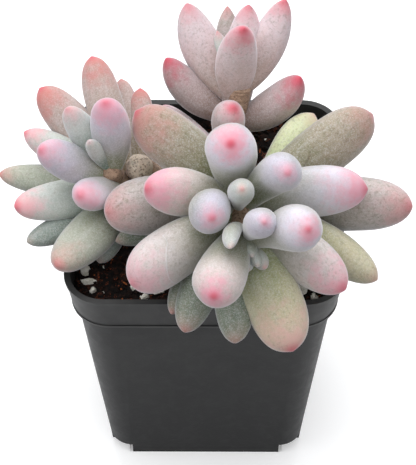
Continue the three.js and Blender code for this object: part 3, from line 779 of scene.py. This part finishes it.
def place_mesh(name, bm, *materials):
    """Makes an object of the finished mesh."""
    mesh = bpy.data.meshes.new(name)
    bm.to_mesh(mesh)
    bm.free()
    for material in materials:
        mesh.materials.append(material)
    made = bpy.data.objects.new(name, mesh)
    bpy.context.collection.objects.link(made)
    return made


def place_piece(name, bm, materials, slot, *nodes):
    """Makes the finished mesh a piece of the plant, which stands for the CAD nodes that are given."""
    piece = place_mesh(name, bm, *materials)
    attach(piece, "root")
    if nodes:
        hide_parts(*nodes)
    return piece


def pour(part, bm):
    """Adds a part's mesh to a piece's. A part of its own is quick to shape, and a large piece is slow."""
    mesh = bpy.data.meshes.new("part")
    part.to_mesh(mesh)
    part.free()
    bm.from_mesh(mesh)
    bpy.data.meshes.remove(mesh)


def smooth_faces(bm):
    """Shades the whole mesh smooth."""
    for face in bm.faces:
        face.smooth = True


def route_point(points, where):
    """A point on the smooth line through a route's points, at a share of the way along it."""
    last = len(points) - 1
    index = min(int(where * last), last - 1)
    weight = where * last - index
    start, end = points[index], points[index + 1]
    before = points[index - 1] if index > 0 else 2 * start - end
    after = points[index + 2] if index + 2 <= last else 2 * end - start
    pairs = ((before, start), (start, end), (end, after))
    step_in, step, step_out = ((second - first).length ** 0.5 for first, second in pairs)
    leave = ((start - before) / step_in - (end - before) / (step_in + step) + (end - start) / step) * step
    arrive = ((end - start) / step - (after - start) / (step + step_out) + (after - end) / step_out) * step
    square = -3 * start + 3 * end - 2 * leave - arrive
    cube = 2 * start - 2 * end + leave + arrive
    return start + leave * weight + square * weight ** 2 + cube * weight ** 3


def route_direction(points, where):
    """The direction of the smooth line through a route's points."""
    low, high = max(where - 0.0001, 0), min(where + 0.0001, 1)
    return (route_point(points, high) - route_point(points, low)).normalized()


def leaf_girth(form, where):
    """The leaf's girth, as a share of its widest, along its length."""
    if where < form["widest"]:
        swell = math.sin(where / form["widest"] * math.pi / 2) ** form["neck"]
        girth = form["foot"] + (1 - form["foot"]) * swell
        foot = min(where / LEAF_FOOT, 1)
        return girth * math.sqrt(1 - (1 - foot) ** 2)
    to_tip = min((where - form["widest"]) / (1 - form["widest"]), 1)
    return (1 - to_tip ** form["full"]) ** form["blunt"]


class SkinLayers:
    """The attributes that the skin materials read."""

    def __init__(self, bm):
        self.place = bm.verts.layers.float_vector.new("skin_place")
        self.values = {name: bm.verts.layers.float.new(name) for name in VALUES}
        self.tones = {name: bm.verts.layers.float_color.new(f"{name}_tone") for name in TONES}

    def write(self, vert, place, values, tones=None):
        """Gives a vertex its place on the skin, its values and its tones."""
        vert[self.place] = place
        for name, value in values.items():
            vert[self.values[name]] = value
        for name, tone in (tones or {}).items():
            vert[self.tones[name]] = rgba(tone)


def mark_gap(mark, side, where, half, long):
    """How far a place on the leaf's upper side lies from a line on it, in millimetres, with a sign."""
    (side_from, where_from), (side_to, where_to), bow, _ = mark
    start = Vector((side_from * half, where_from * long))
    span = Vector((side_to * half, where_to * long)) - start
    offset = Vector((side, where * long)) - start
    share_along = offset.dot(span) / span.length_squared
    gap = (span.x * offset.y - span.y * offset.x) / span.length
    gap -= bow * (1 - (2 * share_along - 1) ** 2)
    beyond = max(-share_along, share_along - 1, 0) * span.length
    return gap + math.copysign(beyond, gap)


def add_leaf(bm, crown, form, row, index, look):
    """A plump finger leaf, bowed so that its tip curls to the crown."""
    rise, turn, lean, long, wide, family, blush, *own_curl = row
    route = [Vector(point) for point in crown["route"]]
    root = route_point(route, rise)
    turned, leant = math.radians(turn), math.radians(lean)
    sideways = math.sin(turned) * RIGHT + math.cos(turned) * UPHILL
    direction = math.sin(leant) * sideways + math.cos(leant) * LIGHT
    above = route_direction(route, 1) + form["light_pull"] * LIGHT
    above = (above - above.dot(direction) * direction).normalized()
    across = direction.cross(above)
    inner, outer = form["curl"]
    curl = own_curl[0] if own_curl else inner + (outer - inner) * min(lean, 90) / 90
    upper_depth, lower_depth = form["depth"]
    reach = wide * form["reach"] * (BLUSH_REACH + BLUSH_GAIN * blush)
    mark = MARKS.get((turn, lean))
    tones = {name: getattr(look, f"{family}_{name}") for name in TONES}
    part = bmesh.new()
    layers = SkinLayers(part)
    bmesh.ops.create_uvsphere(part, u_segments=look.sides, v_segments=look.rings, radius=1)
    for vert in part.verts:
        where = (1 + vert.co.z) / 2
        around = math.atan2(vert.co.y, vert.co.x)
        girth = leaf_girth(form, where)
        waver = noise.noise(Vector((math.cos(around) + WAVER_STEP * index, math.sin(around), 3 * where)))
        radius = girth * (1 + LEAF_WAVER * waver) * wide / 2
        side = radius * math.cos(around)
        height = radius * math.sin(around) * (upper_depth if math.sin(around) > 0 else lower_depth)
        nib = look.nib / MM * max(0, 1 - girth / NIB_START) ** NIB_POWER if where > 0.5 else 0
        bow = curl * long * (where ** 2 - where)
        slope = curl * (2 * where - 1)
        tangent = (direction + slope * above).normalized()
        upper = (above - slope * direction).normalized()
        middle = root + direction * (where * long) + above * bow
        vert.co = (middle + across * side + upper * height + tangent * nib) * MM
        from_tip = math.hypot(side, height, (1 - where) * long)
        on_top = mark and math.sin(around) > 0
        layers.write(vert, Vector((side + SKIN_STEP * index, height, where * long)), {
            "along": where ** form["green"],
            "lower_side": max(0.0, -math.sin(around)),
            "blush": blush,
            "tip_gap": from_tip / reach,
            "dot_gap": from_tip / (wide * form["dot"]),
            "freckled": FAMILIES[family][1],
            "mark_gap": mark_gap(mark, side, where, wide / 2, long) if on_top else NO_MARK,
            "healed": float(bool(mark and mark[3])),
        }, tones)
    pour(part, bm)


def add_stem(bm, route, radius, depth):
    """A stem with a rounded end, swollen where leaves have dropped."""
    points = [Vector(point) for point in route]
    if depth:
        points.insert(0, points[0] - Vector((0, 0, depth)))
    part = bmesh.new()
    layers = SkinLayers(part)
    bmesh.ops.create_uvsphere(part, u_segments=28, v_segments=90, radius=1)
    stem_length = sum((b - a).length for a, b in zip(points, points[1:]))
    for vert in part.verts:
        where = math.acos(max(-1, min(1, -vert.co.z))) / math.pi
        around = math.atan2(vert.co.y, vert.co.x)
        direction = route_direction(points, where)
        across = (RIGHT - RIGHT.dot(direction) * direction).normalized()
        upward = direction.cross(across)
        to_end = min(where, 1 - where) * stem_length / radius
        rounding = math.sqrt(1 - (1 - min(to_end, 1)) ** 2)
        swell = 1 + STEM_SWELL * math.sin(where * stem_length * 1.9 + 2 * around)
        side = Vector((math.cos(around), math.sin(around), where * stem_length * 0.5))
        rough = 1 + STEM_ROUGH * noise.noise(side * 1.7)
        size = radius * rounding * swell * rough
        point = route_point(points, where) + (across * math.cos(around) + upward * math.sin(around)) * size
        vert.co = point * MM
        place = Vector((size * math.cos(around), size * math.sin(around), where * stem_length))
        layers.write(vert, place, {"along": where})
    pour(part, bm)


def add_stub(bm):
    """The cut stem's healed end: a round knob with the diamond scar of the cut."""
    end = Vector(TRUNK_ROUTE[-1])
    facing = STUB_SCAR.normalized()
    across = (RIGHT - RIGHT.dot(facing) * facing).normalized()
    upward = facing.cross(across)
    part = bmesh.new()
    layers = SkinLayers(part)
    bmesh.ops.create_uvsphere(part, u_segments=48, v_segments=48, radius=1)
    for vert in part.verts:
        way = vert.co.normalized()
        front = way.dot(facing)
        diamond = abs(way.dot(across)) + abs(way.dot(upward)) if front > 0 else 1
        rim = max(0.0, 1 - abs(diamond - STUB_SCAR_SIZE) / STUB_RIM_WIDTH)
        inside = 1.0 if diamond < STUB_SCAR_SIZE else 0.0
        lump = noise.noise(way * 2.3)
        hollow = STUB_HOLLOW * inside * (1 - rim)
        size = TRUNK_RADIUS * (STUB_GIRTH + STUB_LUMP * lump + STUB_RIM * rim - hollow)
        vert.co = (end + way * size) * MM
        layers.write(vert, way * TRUNK_RADIUS, {
            "along": 1.0,
            "healed": max(rim, SCAR_HEALED * inside, STUB_HEALED),
            "blush": max(0.0, min(1.0, -1.4 * way.dot(across) - 0.1)),
        })
    pour(part, bm)


def grow_crown(name, crown, look, depth, with_trunk=False):
    """One leafy stem as one piece, which stands for its CAD node."""
    bm = bmesh.new()
    rows = [(form, row) for form, leaves in crown["kinds"] for row in leaves]
    for index, (form, row) in enumerate(rows):
        add_leaf(bm, crown, form, row, index, look)
    leaf_faces = len(bm.faces)
    add_stem(bm, crown["route"], crown["radius"], depth)
    if with_trunk:
        add_stem(bm, TRUNK_ROUTE, TRUNK_RADIUS, STEM_DEPTH_IN_SOIL)
        add_stub(bm)
    bm.faces.ensure_lookup_table()
    for face in bm.faces[leaf_faces:]:
        face.material_index = 1
    smooth_faces(bm)
    bmesh.ops.recalc_face_normals(bm, faces=bm.faces)
    leaf = bpy.data.materials.get("powdery leaf skin") or leaf_skin(look)
    stem = bpy.data.materials.get("corky stem skin") or stem_skin(look)
    return place_piece(f"{name}_leaves", bm, [leaf, stem], "leaf", name)


def square_outline(half, corner, foot_half):
    """Points round a square with round corners, with a point at each side of each straight."""
    straight = half - corner
    points = []
    for quarter in range(4):
        turn = Matrix.Rotation(quarter * math.pi / 2, 2)
        points.append(turn @ Vector((half, foot_half)))
        for step in range(CORNER_STEPS + 1):
            angle = step / CORNER_STEPS * math.pi / 2
            out = Vector((straight + corner * math.cos(angle), straight + corner * math.sin(angle)))
            points.append(turn @ out)
        points.append(turn @ Vector((foot_half, half)))
    return sorted(points, key=lambda point: math.atan2(point.y, point.x))


def shape_ring(verts, height, half, corner, foot_half):
    """Moves a ring of vertices to a square outline at a height."""
    ordered = sorted(verts, key=lambda vert: math.atan2(vert.co.y, vert.co.x))
    for vert, point in zip(ordered, square_outline(half, corner, foot_half)):
        vert.co = (point.x, point.y, height)
    return ordered


def draw_out(bm, edges):
    """Extrudes a ring of edges, and gives the new vertices and the new ring."""
    made = bmesh.ops.extrude_edge_only(bm, edges=edges)["geom"]
    verts = [item for item in made if isinstance(item, bmesh.types.BMVert)]
    new_edges = [item for item in made if isinstance(item, bmesh.types.BMEdge)]
    return verts, [edge for edge in new_edges if all(vert in verts for vert in edge.verts)]


def start_ring(bm, height, half, corner, foot_half):
    """A first ring of edges."""
    count = len(square_outline(half, corner, foot_half))
    made = bmesh.ops.create_circle(bm, segments=count, radius=half)
    shape_ring(made["verts"], height, half, corner, foot_half)
    return list(bm.edges)


def next_ring(bm, edges, height, half, corner, foot_half):
    """Draws the wall on to one more ring."""
    verts, ring = draw_out(bm, edges)
    shape_ring(verts, height, half, corner, foot_half)
    return ring


def close_foot(bm, edges, foot_half, drop, draw_in):
    """Closes a ring with four raised corners and a cross that stands lower."""
    verts = {vert for edge in edges for vert in edge.verts}
    ordered = sorted(verts, key=lambda vert: math.atan2(vert.co.y, vert.co.x))
    cross_edges = [edge for edge in edges if edge.calc_length() > foot_half]
    least = foot_half - TOLERANCE
    for side_x, side_y in CORNERS:
        corner = [vert for vert in ordered if min(vert.co.x * side_x, vert.co.y * side_y) > least]
        inner = bm.verts.new((side_x * foot_half, side_y * foot_half, corner[0].co.z))
        bm.faces.new([inner, *corner])
        cross_edges.append(bm.edges.get((inner, corner[0])))
        cross_edges.append(bm.edges.get((inner, corner[-1])))
    low_verts, low_edges = draw_out(bm, cross_edges)
    for vert in low_verts:
        vert.co.z -= drop
        for axis in (0, 1):
            if abs(vert.co[axis]) > foot_half + TOLERANCE:
                vert.co[axis] *= 1 - draw_in
    bmesh.ops.contextual_create(bm, geom=low_edges)


def body_ring(look, height, inset):
    """A height, with the half-width and the corner of the pot's body there."""
    share_up = (height - look.corner_lift) / (look.height - look.collar_height - look.corner_lift)
    half = look.body_foot_half + (look.body_top_half - look.body_foot_half) * share_up
    corner = look.body_foot_corner + (look.body_top_corner - look.body_foot_corner) * share_up
    return height, half - inset, corner - inset


def collar_ring(look, height, inset):
    """A height, with the half-width and the corner of the collar there."""
    share_up = (height - look.height + look.collar_height) / look.collar_height
    half = look.collar_foot_half + (look.rim_half - look.collar_foot_half) * share_up
    return height, half - inset, look.rim_corner - inset


def mould_pot(look):
    """The pot, from its raised corners up the outside, over the rim and down the inside."""
    collar_foot = look.height - look.collar_height
    lip_foot = look.height - look.lip_height
    bead_top = collar_foot + look.bead_height
    ledge = collar_foot + look.wall
    inner_foot = look.corner_lift + look.floor
    rings = [
        body_ring(look, collar_foot, 0),
        collar_ring(look, collar_foot, -look.bead_proud),
        collar_ring(look, bead_top, -look.bead_proud),
        collar_ring(look, bead_top, 0),
        collar_ring(look, lip_foot, 0),
        collar_ring(look, lip_foot, -look.lip_proud),
        collar_ring(look, look.height, -look.lip_proud),
        collar_ring(look, look.height, look.wall),
        collar_ring(look, ledge, look.wall),
        body_ring(look, ledge, look.wall),
        body_ring(look, inner_foot, look.wall),
    ]
    bm = bmesh.new()
    first = start_ring(bm, *body_ring(look, look.corner_lift, 0), look.foot_half)
    edges = first
    for ring in rings:
        edges = next_ring(bm, edges, *ring, look.foot_half)
    slope = (look.body_top_half - look.body_foot_half) / (collar_foot - look.corner_lift)
    close_foot(bm, first, look.foot_half, look.corner_lift, slope * look.corner_lift / look.body_foot_half)
    close_foot(bm, edges, look.foot_half - look.wall, look.corner_lift, 0)
    bmesh.ops.recalc_face_normals(bm, faces=bm.faces)
    smooth_faces(bm)
    pot = place_piece("moulded_pot", bm, [pot_plastic(look)], "pot_plastic", "pot")
    drill_holes(pot, look)
    rounding = pot.modifiers.new("Moulded edges", "BEVEL")
    rounding.width = look.edge
    rounding.segments = 3
    rounding.limit_method = "ANGLE"
    rounding.angle_limit = math.radians(35)
    pot.modifiers.new("Even shading", "WEIGHTED_NORMAL")
    return pot


def drill_holes(pot, look):
    """Cuts the four drain holes."""
    bm = bmesh.new()
    for side_x, side_y in CORNERS:
        place = Matrix.Translation((side_x * look.drain_place, side_y * look.drain_place, 0))
        bmesh.ops.create_cone(
            bm,
            cap_ends=True,
            segments=24,
            radius1=look.drain_radius,
            radius2=look.drain_radius,
            depth=4 * look.corner_lift,
            matrix=place,
        )
    drill = place_mesh("drain_drill", bm)
    cut = pot.modifiers.new("Drain holes", "BOOLEAN")
    cut.operation = "DIFFERENCE"
    cut.solver = "EXACT"
    cut.object = drill
    bpy.context.view_layer.update()
    graph = bpy.context.evaluated_depsgraph_get()
    holed = bpy.data.meshes.new_from_object(pot.evaluated_get(graph))
    pot.modifiers.clear()
    pot.data = holed
    bpy.data.objects.remove(drill)


def soil_height(look, x, y):
    """The soil's surface height: a low mound with small lumps. Places and heights are in metres."""
    x, y = x / MM, y / MM
    mound = math.cos(MOUND_WAVE * x) * math.cos(MOUND_WAVE * y)
    lump = math.sin(LUMP_WAVE * x + math.sin(0.3 * y)) * math.cos(LUMP_WAVE * y + 0.15 * x)
    return look.top + look.mound * mound + look.lump * lump


def crumb_height(look, x, y):
    """Crumbs in the surface, from lumps of three sizes."""
    place = Vector((x, y, 0)) / MM
    large = noise.noise(place / LARGE_CRUMB)
    middle = noise.voronoi(place / MIDDLE_CRUMB)[0][0] - 0.5
    small = noise.voronoi(place / SMALL_CRUMB)[0][0] - 0.5
    return look.crumb * (0.5 * large - 0.6 * middle - 0.3 * small)


def fill_soil(pot, look):
    """Soil that fills the pot, with a crumbly top."""
    inset = pot.wall + look.clearance
    _, half, corner = collar_ring(pot, look.top, inset)
    straight = half - corner
    bm = bmesh.new()
    bmesh.ops.create_grid(bm, x_segments=look.cells, y_segments=look.cells, size=half)
    for vert in bm.verts:
        out_x, out_y = abs(vert.co.x) - straight, abs(vert.co.y) - straight
        if out_x > 0 and out_y > 0:
            shrink = max(out_x, out_y) / math.hypot(out_x, out_y)
            vert.co.x = math.copysign(straight + out_x * shrink, vert.co.x)
            vert.co.y = math.copysign(straight + out_y * shrink, vert.co.y)
        vert.co.z = soil_height(look, vert.co.x, vert.co.y) + crumb_height(look, vert.co.x, vert.co.y)
    rim = [edge for edge in bm.edges if edge.is_boundary]
    low = pot.corner_lift + pot.floor + look.clearance
    low_half = body_ring(pot, low, inset)[1]
    ledge = pot.height - pot.collar_height + pot.wall + look.clearance
    ledge_half = body_ring(pot, ledge, inset)[1]
    for height, ring_half in ((ledge, half - SOIL_TAPER), (ledge, ledge_half), (low, low_half)):
        verts, rim = draw_out(bm, rim)
        widest = max(abs(vert.co.x) for vert in verts)
        for vert in verts:
            vert.co = (vert.co.x * ring_half / widest, vert.co.y * ring_half / widest, height)
    bmesh.ops.contextual_create(bm, geom=rim)
    bmesh.ops.recalc_face_normals(bm, faces=bm.faces)
    smooth_faces(bm)
    return place_piece("potting_soil", bm, [damp_soil(look)], "soil", "soil")


def random_place(draw, half):
    """A place on the soil, inside its round corners."""
    while True:
        x, y = draw.uniform(-half, half), draw.uniform(-half, half)
        reach = half - SOIL_CORNER
        if math.hypot(max(abs(x) - reach, 0), max(abs(y) - reach, 0)) < SOIL_CORNER:
            return x, y


def lay(look, x, y, size, turn, raised):
    """Lays a unit shape on the soil, turned and sized, with its middle raised by a share of its height."""
    height = soil_height(look, x, y) + (raised * size[2]) * MM
    place = Matrix.Translation((x, y, height)) @ Matrix.Rotation(turn, 4, "Z")
    return place @ Matrix.Diagonal((*(part * MM for part in size), 1))


def strew(bm, look, draw, count, half, sizes, stretch, raised):
    """Strews small angular bits over the soil, in batches because a large piece is slow to shape."""
    part = bmesh.new()
    for bit in range(count):
        if bit % STREW_BATCH == STREW_BATCH - 1:
            pour(part, bm)
            part = bmesh.new()
        x, y = random_place(draw, half)
        size = draw.uniform(*sizes)
        long_side = size * draw.uniform(1, stretch)
        tilt = Matrix.Rotation(draw.uniform(-0.6, 0.6), 4, "X")
        tilt = tilt @ Matrix.Rotation(draw.uniform(-0.5, 0.5), 4, "Y")
        thickness = size * draw.uniform(0.5, 0.9)
        place = lay(look, x, y, (long_side, size, thickness), draw.uniform(0, 6.3), raised)
        made = bmesh.ops.create_icosphere(part, subdivisions=1, radius=1)
        for vert in made["verts"]:
            jitter = Vector((draw.uniform(-1, 1), draw.uniform(-1, 1), draw.uniform(-1, 1))) * 0.25
            vert.co = place @ (tilt @ (vert.co + jitter))
    pour(part, bm)


def strew_crumbs(pot, look):
    """Loose crumbs of soil."""
    draw = random.Random(CRUMB_SEED)
    bm = bmesh.new()
    strew(bm, look, draw, look.loose_crumbs, pot.rim_half - BIT_MARGIN, (0.25, 0.85), 1.8, 0.5)
    return place_piece("loose_crumbs", bm, [bpy.data.materials["damp peat soil"]], "soil")


def random_way(draw):
    """An even draw of a direction."""
    up = draw.uniform(-1, 1)
    turn = draw.uniform(0, 2 * math.pi)
    out = math.sqrt(1 - up * up)
    return Vector((out * math.cos(turn), out * math.sin(turn), up))


def scatter_perlite(pot, look):
    """The perlite grains in their places, chipped and full of pits, and tiny specks of it."""
    draw = random.Random(PERLITE_SEED)
    bm = bmesh.new()
    for index, ((x, y), half, turn) in enumerate(PERLITE):
        place = lay(look, x * MM, y * MM, half, math.radians(turn), GRAIN_RAISED)
        chips = [(random_way(draw), draw.uniform(*CHIP_DEPTHS)) for _ in range(PERLITE_CHIPS)]
        made = bmesh.ops.create_icosphere(bm, subdivisions=5, radius=1)
        for vert in made["verts"]:
            way = vert.co.normalized()
            reach = min(1.08, *(depth / max(way.dot(facing), 0.05) for facing, depth in chips))
            seed = way + Vector((9 * index, 0, 0))
            pit = noise.voronoi(seed * 3.2)[0][0]
            lump = noise.noise(seed * 6)
            vert.co = place @ (way * (reach * (0.9 + 0.22 * min(pit, 0.5) + 0.07 * lump)))
    smooth_faces(bm)
    strew(bm, look, draw, look.specks, pot.rim_half - BIT_MARGIN, (0.12, 0.45), 1.8, 0.6)
    nodes = [f"perlite_{index + 1}" for index in range(len(PERLITE))]
    return place_piece("perlite_grains", bm, [perlite_stone(look)], "perlite", *nodes)


def scatter_bark(pot, look):
    """The bits of bark in their places, and small slivers of it."""
    draw = random.Random(BARK_SEED)
    bm = bmesh.new()
    for index, ((x, y), half, turn) in enumerate(BARK):
        place = lay(look, x * MM, y * MM, half, math.radians(turn), GRAIN_RAISED)
        others = set(bm.verts)
        made = bmesh.ops.create_cube(bm, size=2)
        edges = list({edge for vert in made["verts"] for edge in vert.link_edges})
        bmesh.ops.subdivide_edges(bm, edges=edges, cuts=7, use_grid_fill=True)
        for vert in set(bm.verts) - others:
            seed = vert.co * 1.8 + Vector((9 * index, 0, 0))
            rough = 1 + 0.14 * noise.noise(Vector((seed.x, seed.y * 4, seed.z * 4)))
            taper = 0.8 + 0.2 * (vert.co.x > 0)
            vert.co = place @ Vector((vert.co.x * rough, vert.co.y * rough * taper, vert.co.z * rough))
    strew(bm, look, draw, look.chips, pot.rim_half - BIT_MARGIN, (0.12, 0.4), 5, 0.7)
    strew(bm, look, draw, look.threads, pot.rim_half - FIBRE_MARGIN, (0.07, 0.13), 30, 3)
    nodes = [f"bark_{index + 1}" for index in range(len(BARK))]
    return place_piece("bark_bits", bm, [bark_wood(look)], "bark", *nodes)


def aim(place, target):
    """A turn that looks from a place to a target."""
    return (target - place).to_track_quat("-Z", "Y")


def add_light(name, place, watts):
    """A soft square light, turned to the plant."""
    light = bpy.data.lights.new(name, "AREA")
    light.size = LAMP_SIZE
    light.energy = watts
    lamp = bpy.data.objects.new(name, light)
    lamp.location = place
    lamp.rotation_mode = "QUATERNION"
    lamp.rotation_quaternion = aim(place, LAMP_TARGET)
    bpy.context.collection.objects.link(lamp)


def white_backdrop():
    """Plain white all round, seen behind the floor. It gives no light."""
    made = bpy.data.materials.new("white backdrop")
    tree = bare_tree(made)
    white = add(tree, "Emission", {"Color": WHITE, "Strength": BACKDROP_STRENGTH})
    add(tree, "OutputMaterial", {"Surface": white})
    return made


def place_stage(name, bm, material):
    """A piece of the studio, which is no part of the plant."""
    piece = place_mesh(name, bm, material)
    return piece


def light_room(look):
    """Light from all round, strongest from the ceiling, less from below and least from beside."""
    world = bpy.data.worlds.new("soft white room")
    tree = bare_tree(world)
    way = add(tree, "TexCoord", {}, "Generated")
    upward = add(tree, "SeparateXYZ", {0: way}, "Z")
    ceiling = {VALUE: upward, LOW: 0.0, HIGH: 0.9, TO_LOW: look.beside, TO_HIGH: look.above}
    upper = add(tree, "MapRange", ceiling, **SMOOTH)
    table = {VALUE: upward, LOW: -0.5, HIGH: 0.0, TO_LOW: look.below - look.beside, TO_HIGH: 0.0}
    lower = add(tree, "MapRange", table, **SMOOTH)
    both = add(tree, "Math", {0: upper, 1: lower}, operation="ADD")
    room = add(tree, "Background", {"Color": ROOM_COLOUR, "Strength": both})
    add(tree, "OutputWorld", {"Surface": room})
    bpy.context.scene.world = world


def build_stage(look):
    """Floor, backdrop, soft light and the photograph's camera."""
    bm = bmesh.new()
    bmesh.ops.create_grid(bm, x_segments=1, y_segments=1, size=FLOOR_HALF)
    floor = place_stage("studio_floor", bm, floor_paper(look))
    floor.visible_diffuse = False
    bm = bmesh.new()
    bmesh.ops.create_uvsphere(bm, u_segments=32, v_segments=16, radius=BACKDROP_RADIUS)
    bmesh.ops.reverse_faces(bm, faces=bm.faces)
    backdrop = place_stage("studio_backdrop", bm, white_backdrop())
    backdrop.visible_diffuse = False
    backdrop.visible_glossy = False
    backdrop.visible_transmission = False
    backdrop.visible_shadow = False

    light_room(look)
    for name, place in LAMPS.items():
        add_light(f"soft {name} light", Vector(place), getattr(look, name))

    forward = Vector((
        -math.sin(CAMERA_AZIMUTH) * math.cos(CAMERA_ELEVATION),
        math.cos(CAMERA_AZIMUTH) * math.cos(CAMERA_ELEVATION),
        -math.sin(CAMERA_ELEVATION),
    ))
    data = bpy.data.cameras.new("camera")
    data.sensor_width = CAMERA_SENSOR
    data.lens = CAMERA_LENS
    data.clip_start, data.clip_end = CAMERA_CLIP
    camera = bpy.data.objects.new("camera", data)
    camera.location = CAMERA_TARGET - forward * CAMERA_DISTANCE
    camera.rotation_mode = "QUATERNION"
    roll = Matrix.Rotation(CAMERA_ROLL, 3, "Z").to_quaternion()
    camera.rotation_quaternion = aim(camera.location, CAMERA_TARGET) @ roll
    bpy.context.collection.objects.link(camera)
    bpy.context.scene.camera = camera
    bpy.context.scene.view_settings.view_transform = "Standard"


class PLANT_OT_mould_pot(bpy.types.Operator):
    """Mould the square nursery pot"""

    bl_idname = "plant.mould_pot"
    bl_label = "Mould the pot"

    def execute(self, context):
        mould_pot(context.scene.potted_plant.pot)
        return {"FINISHED"}


class PLANT_OT_fill_soil(bpy.types.Operator):
    """Fill the pot with soil and strew loose crumbs on it"""

    bl_idname = "plant.fill_soil"
    bl_label = "Fill the soil"

    def execute(self, context):
        settings = context.scene.potted_plant
        fill_soil(settings.pot, settings.soil)
        strew_crumbs(settings.pot, settings.soil)
        return {"FINISHED"}


class PLANT_OT_scatter_grains(bpy.types.Operator):
    """Lay the perlite and the bark on the soil"""

    bl_idname = "plant.scatter_grains"
    bl_label = "Scatter perlite and bark"

    def execute(self, context):
        settings = context.scene.potted_plant
        scatter_perlite(settings.pot, settings.soil)
        scatter_bark(settings.pot, settings.soil)
        return {"FINISHED"}


class PLANT_OT_grow_crowns(bpy.types.Operator):
    """Grow the three leafy stems"""

    bl_idname = "plant.grow_crowns"
    bl_label = "Grow the crowns"

    def execute(self, context):
        look = context.scene.potted_plant.leaf
        grow_crown("front_crown", FRONT_CROWN, look, STEM_DEPTH_IN_SOIL)
        grow_crown("left_crown", LEFT_CROWN, look, 0, with_trunk=True)
        grow_crown("back_crown", BACK_CROWN, look, STEM_DEPTH_IN_SOIL)
        return {"FINISHED"}


class PLANT_OT_build_stage(bpy.types.Operator):
    """Set up the floor, the light and the camera"""

    bl_idname = "plant.build_stage"
    bl_label = "Build the stage"

    def execute(self, context):
        build_stage(context.scene.potted_plant.studio)
        return {"FINISHED"}


class PLANT_PT_panel(bpy.types.Panel):
    """The plant's pieces and settings"""

    bl_label = "Potted pachyphytum"
    bl_idname = "PLANT_PT_panel"
    bl_space_type = "VIEW_3D"
    bl_region_type = "UI"
    bl_category = "Plant"

    def draw(self, context):
        settings = context.scene.potted_plant
        for operator in OPERATORS:
            self.layout.operator(operator.bl_idname)
        for name in ("pot", "soil", "leaf", "studio"):
            group = getattr(settings, name)
            box = self.layout.box()
            box.label(text=name.capitalize())
            for prop in type(group).__annotations__:
                box.prop(group, prop)


SETTINGS = (PotSettings, SoilSettings, LeafSettings, StudioSettings, PlantSettings)
OPERATORS = (
    PLANT_OT_mould_pot,
    PLANT_OT_fill_soil,
    PLANT_OT_scatter_grains,
    PLANT_OT_grow_crowns,
    PLANT_OT_build_stage,
)


def register():
    for item in (*SETTINGS, *OPERATORS, PLANT_PT_panel):
        bpy.utils.register_class(item)
    bpy.types.Scene.potted_plant = PointerProperty(type=PlantSettings)


def unregister():
    del bpy.types.Scene.potted_plant
    for item in reversed((*SETTINGS, *OPERATORS, PLANT_PT_panel)):
        bpy.utils.unregister_class(item)


def main():
    """Builds every piece in order."""
    register()
    for operator in OPERATORS:
        area, name = operator.bl_idname.split(".")
        getattr(getattr(bpy.ops, area), name)()


if __name__ == "__main__":
    main()
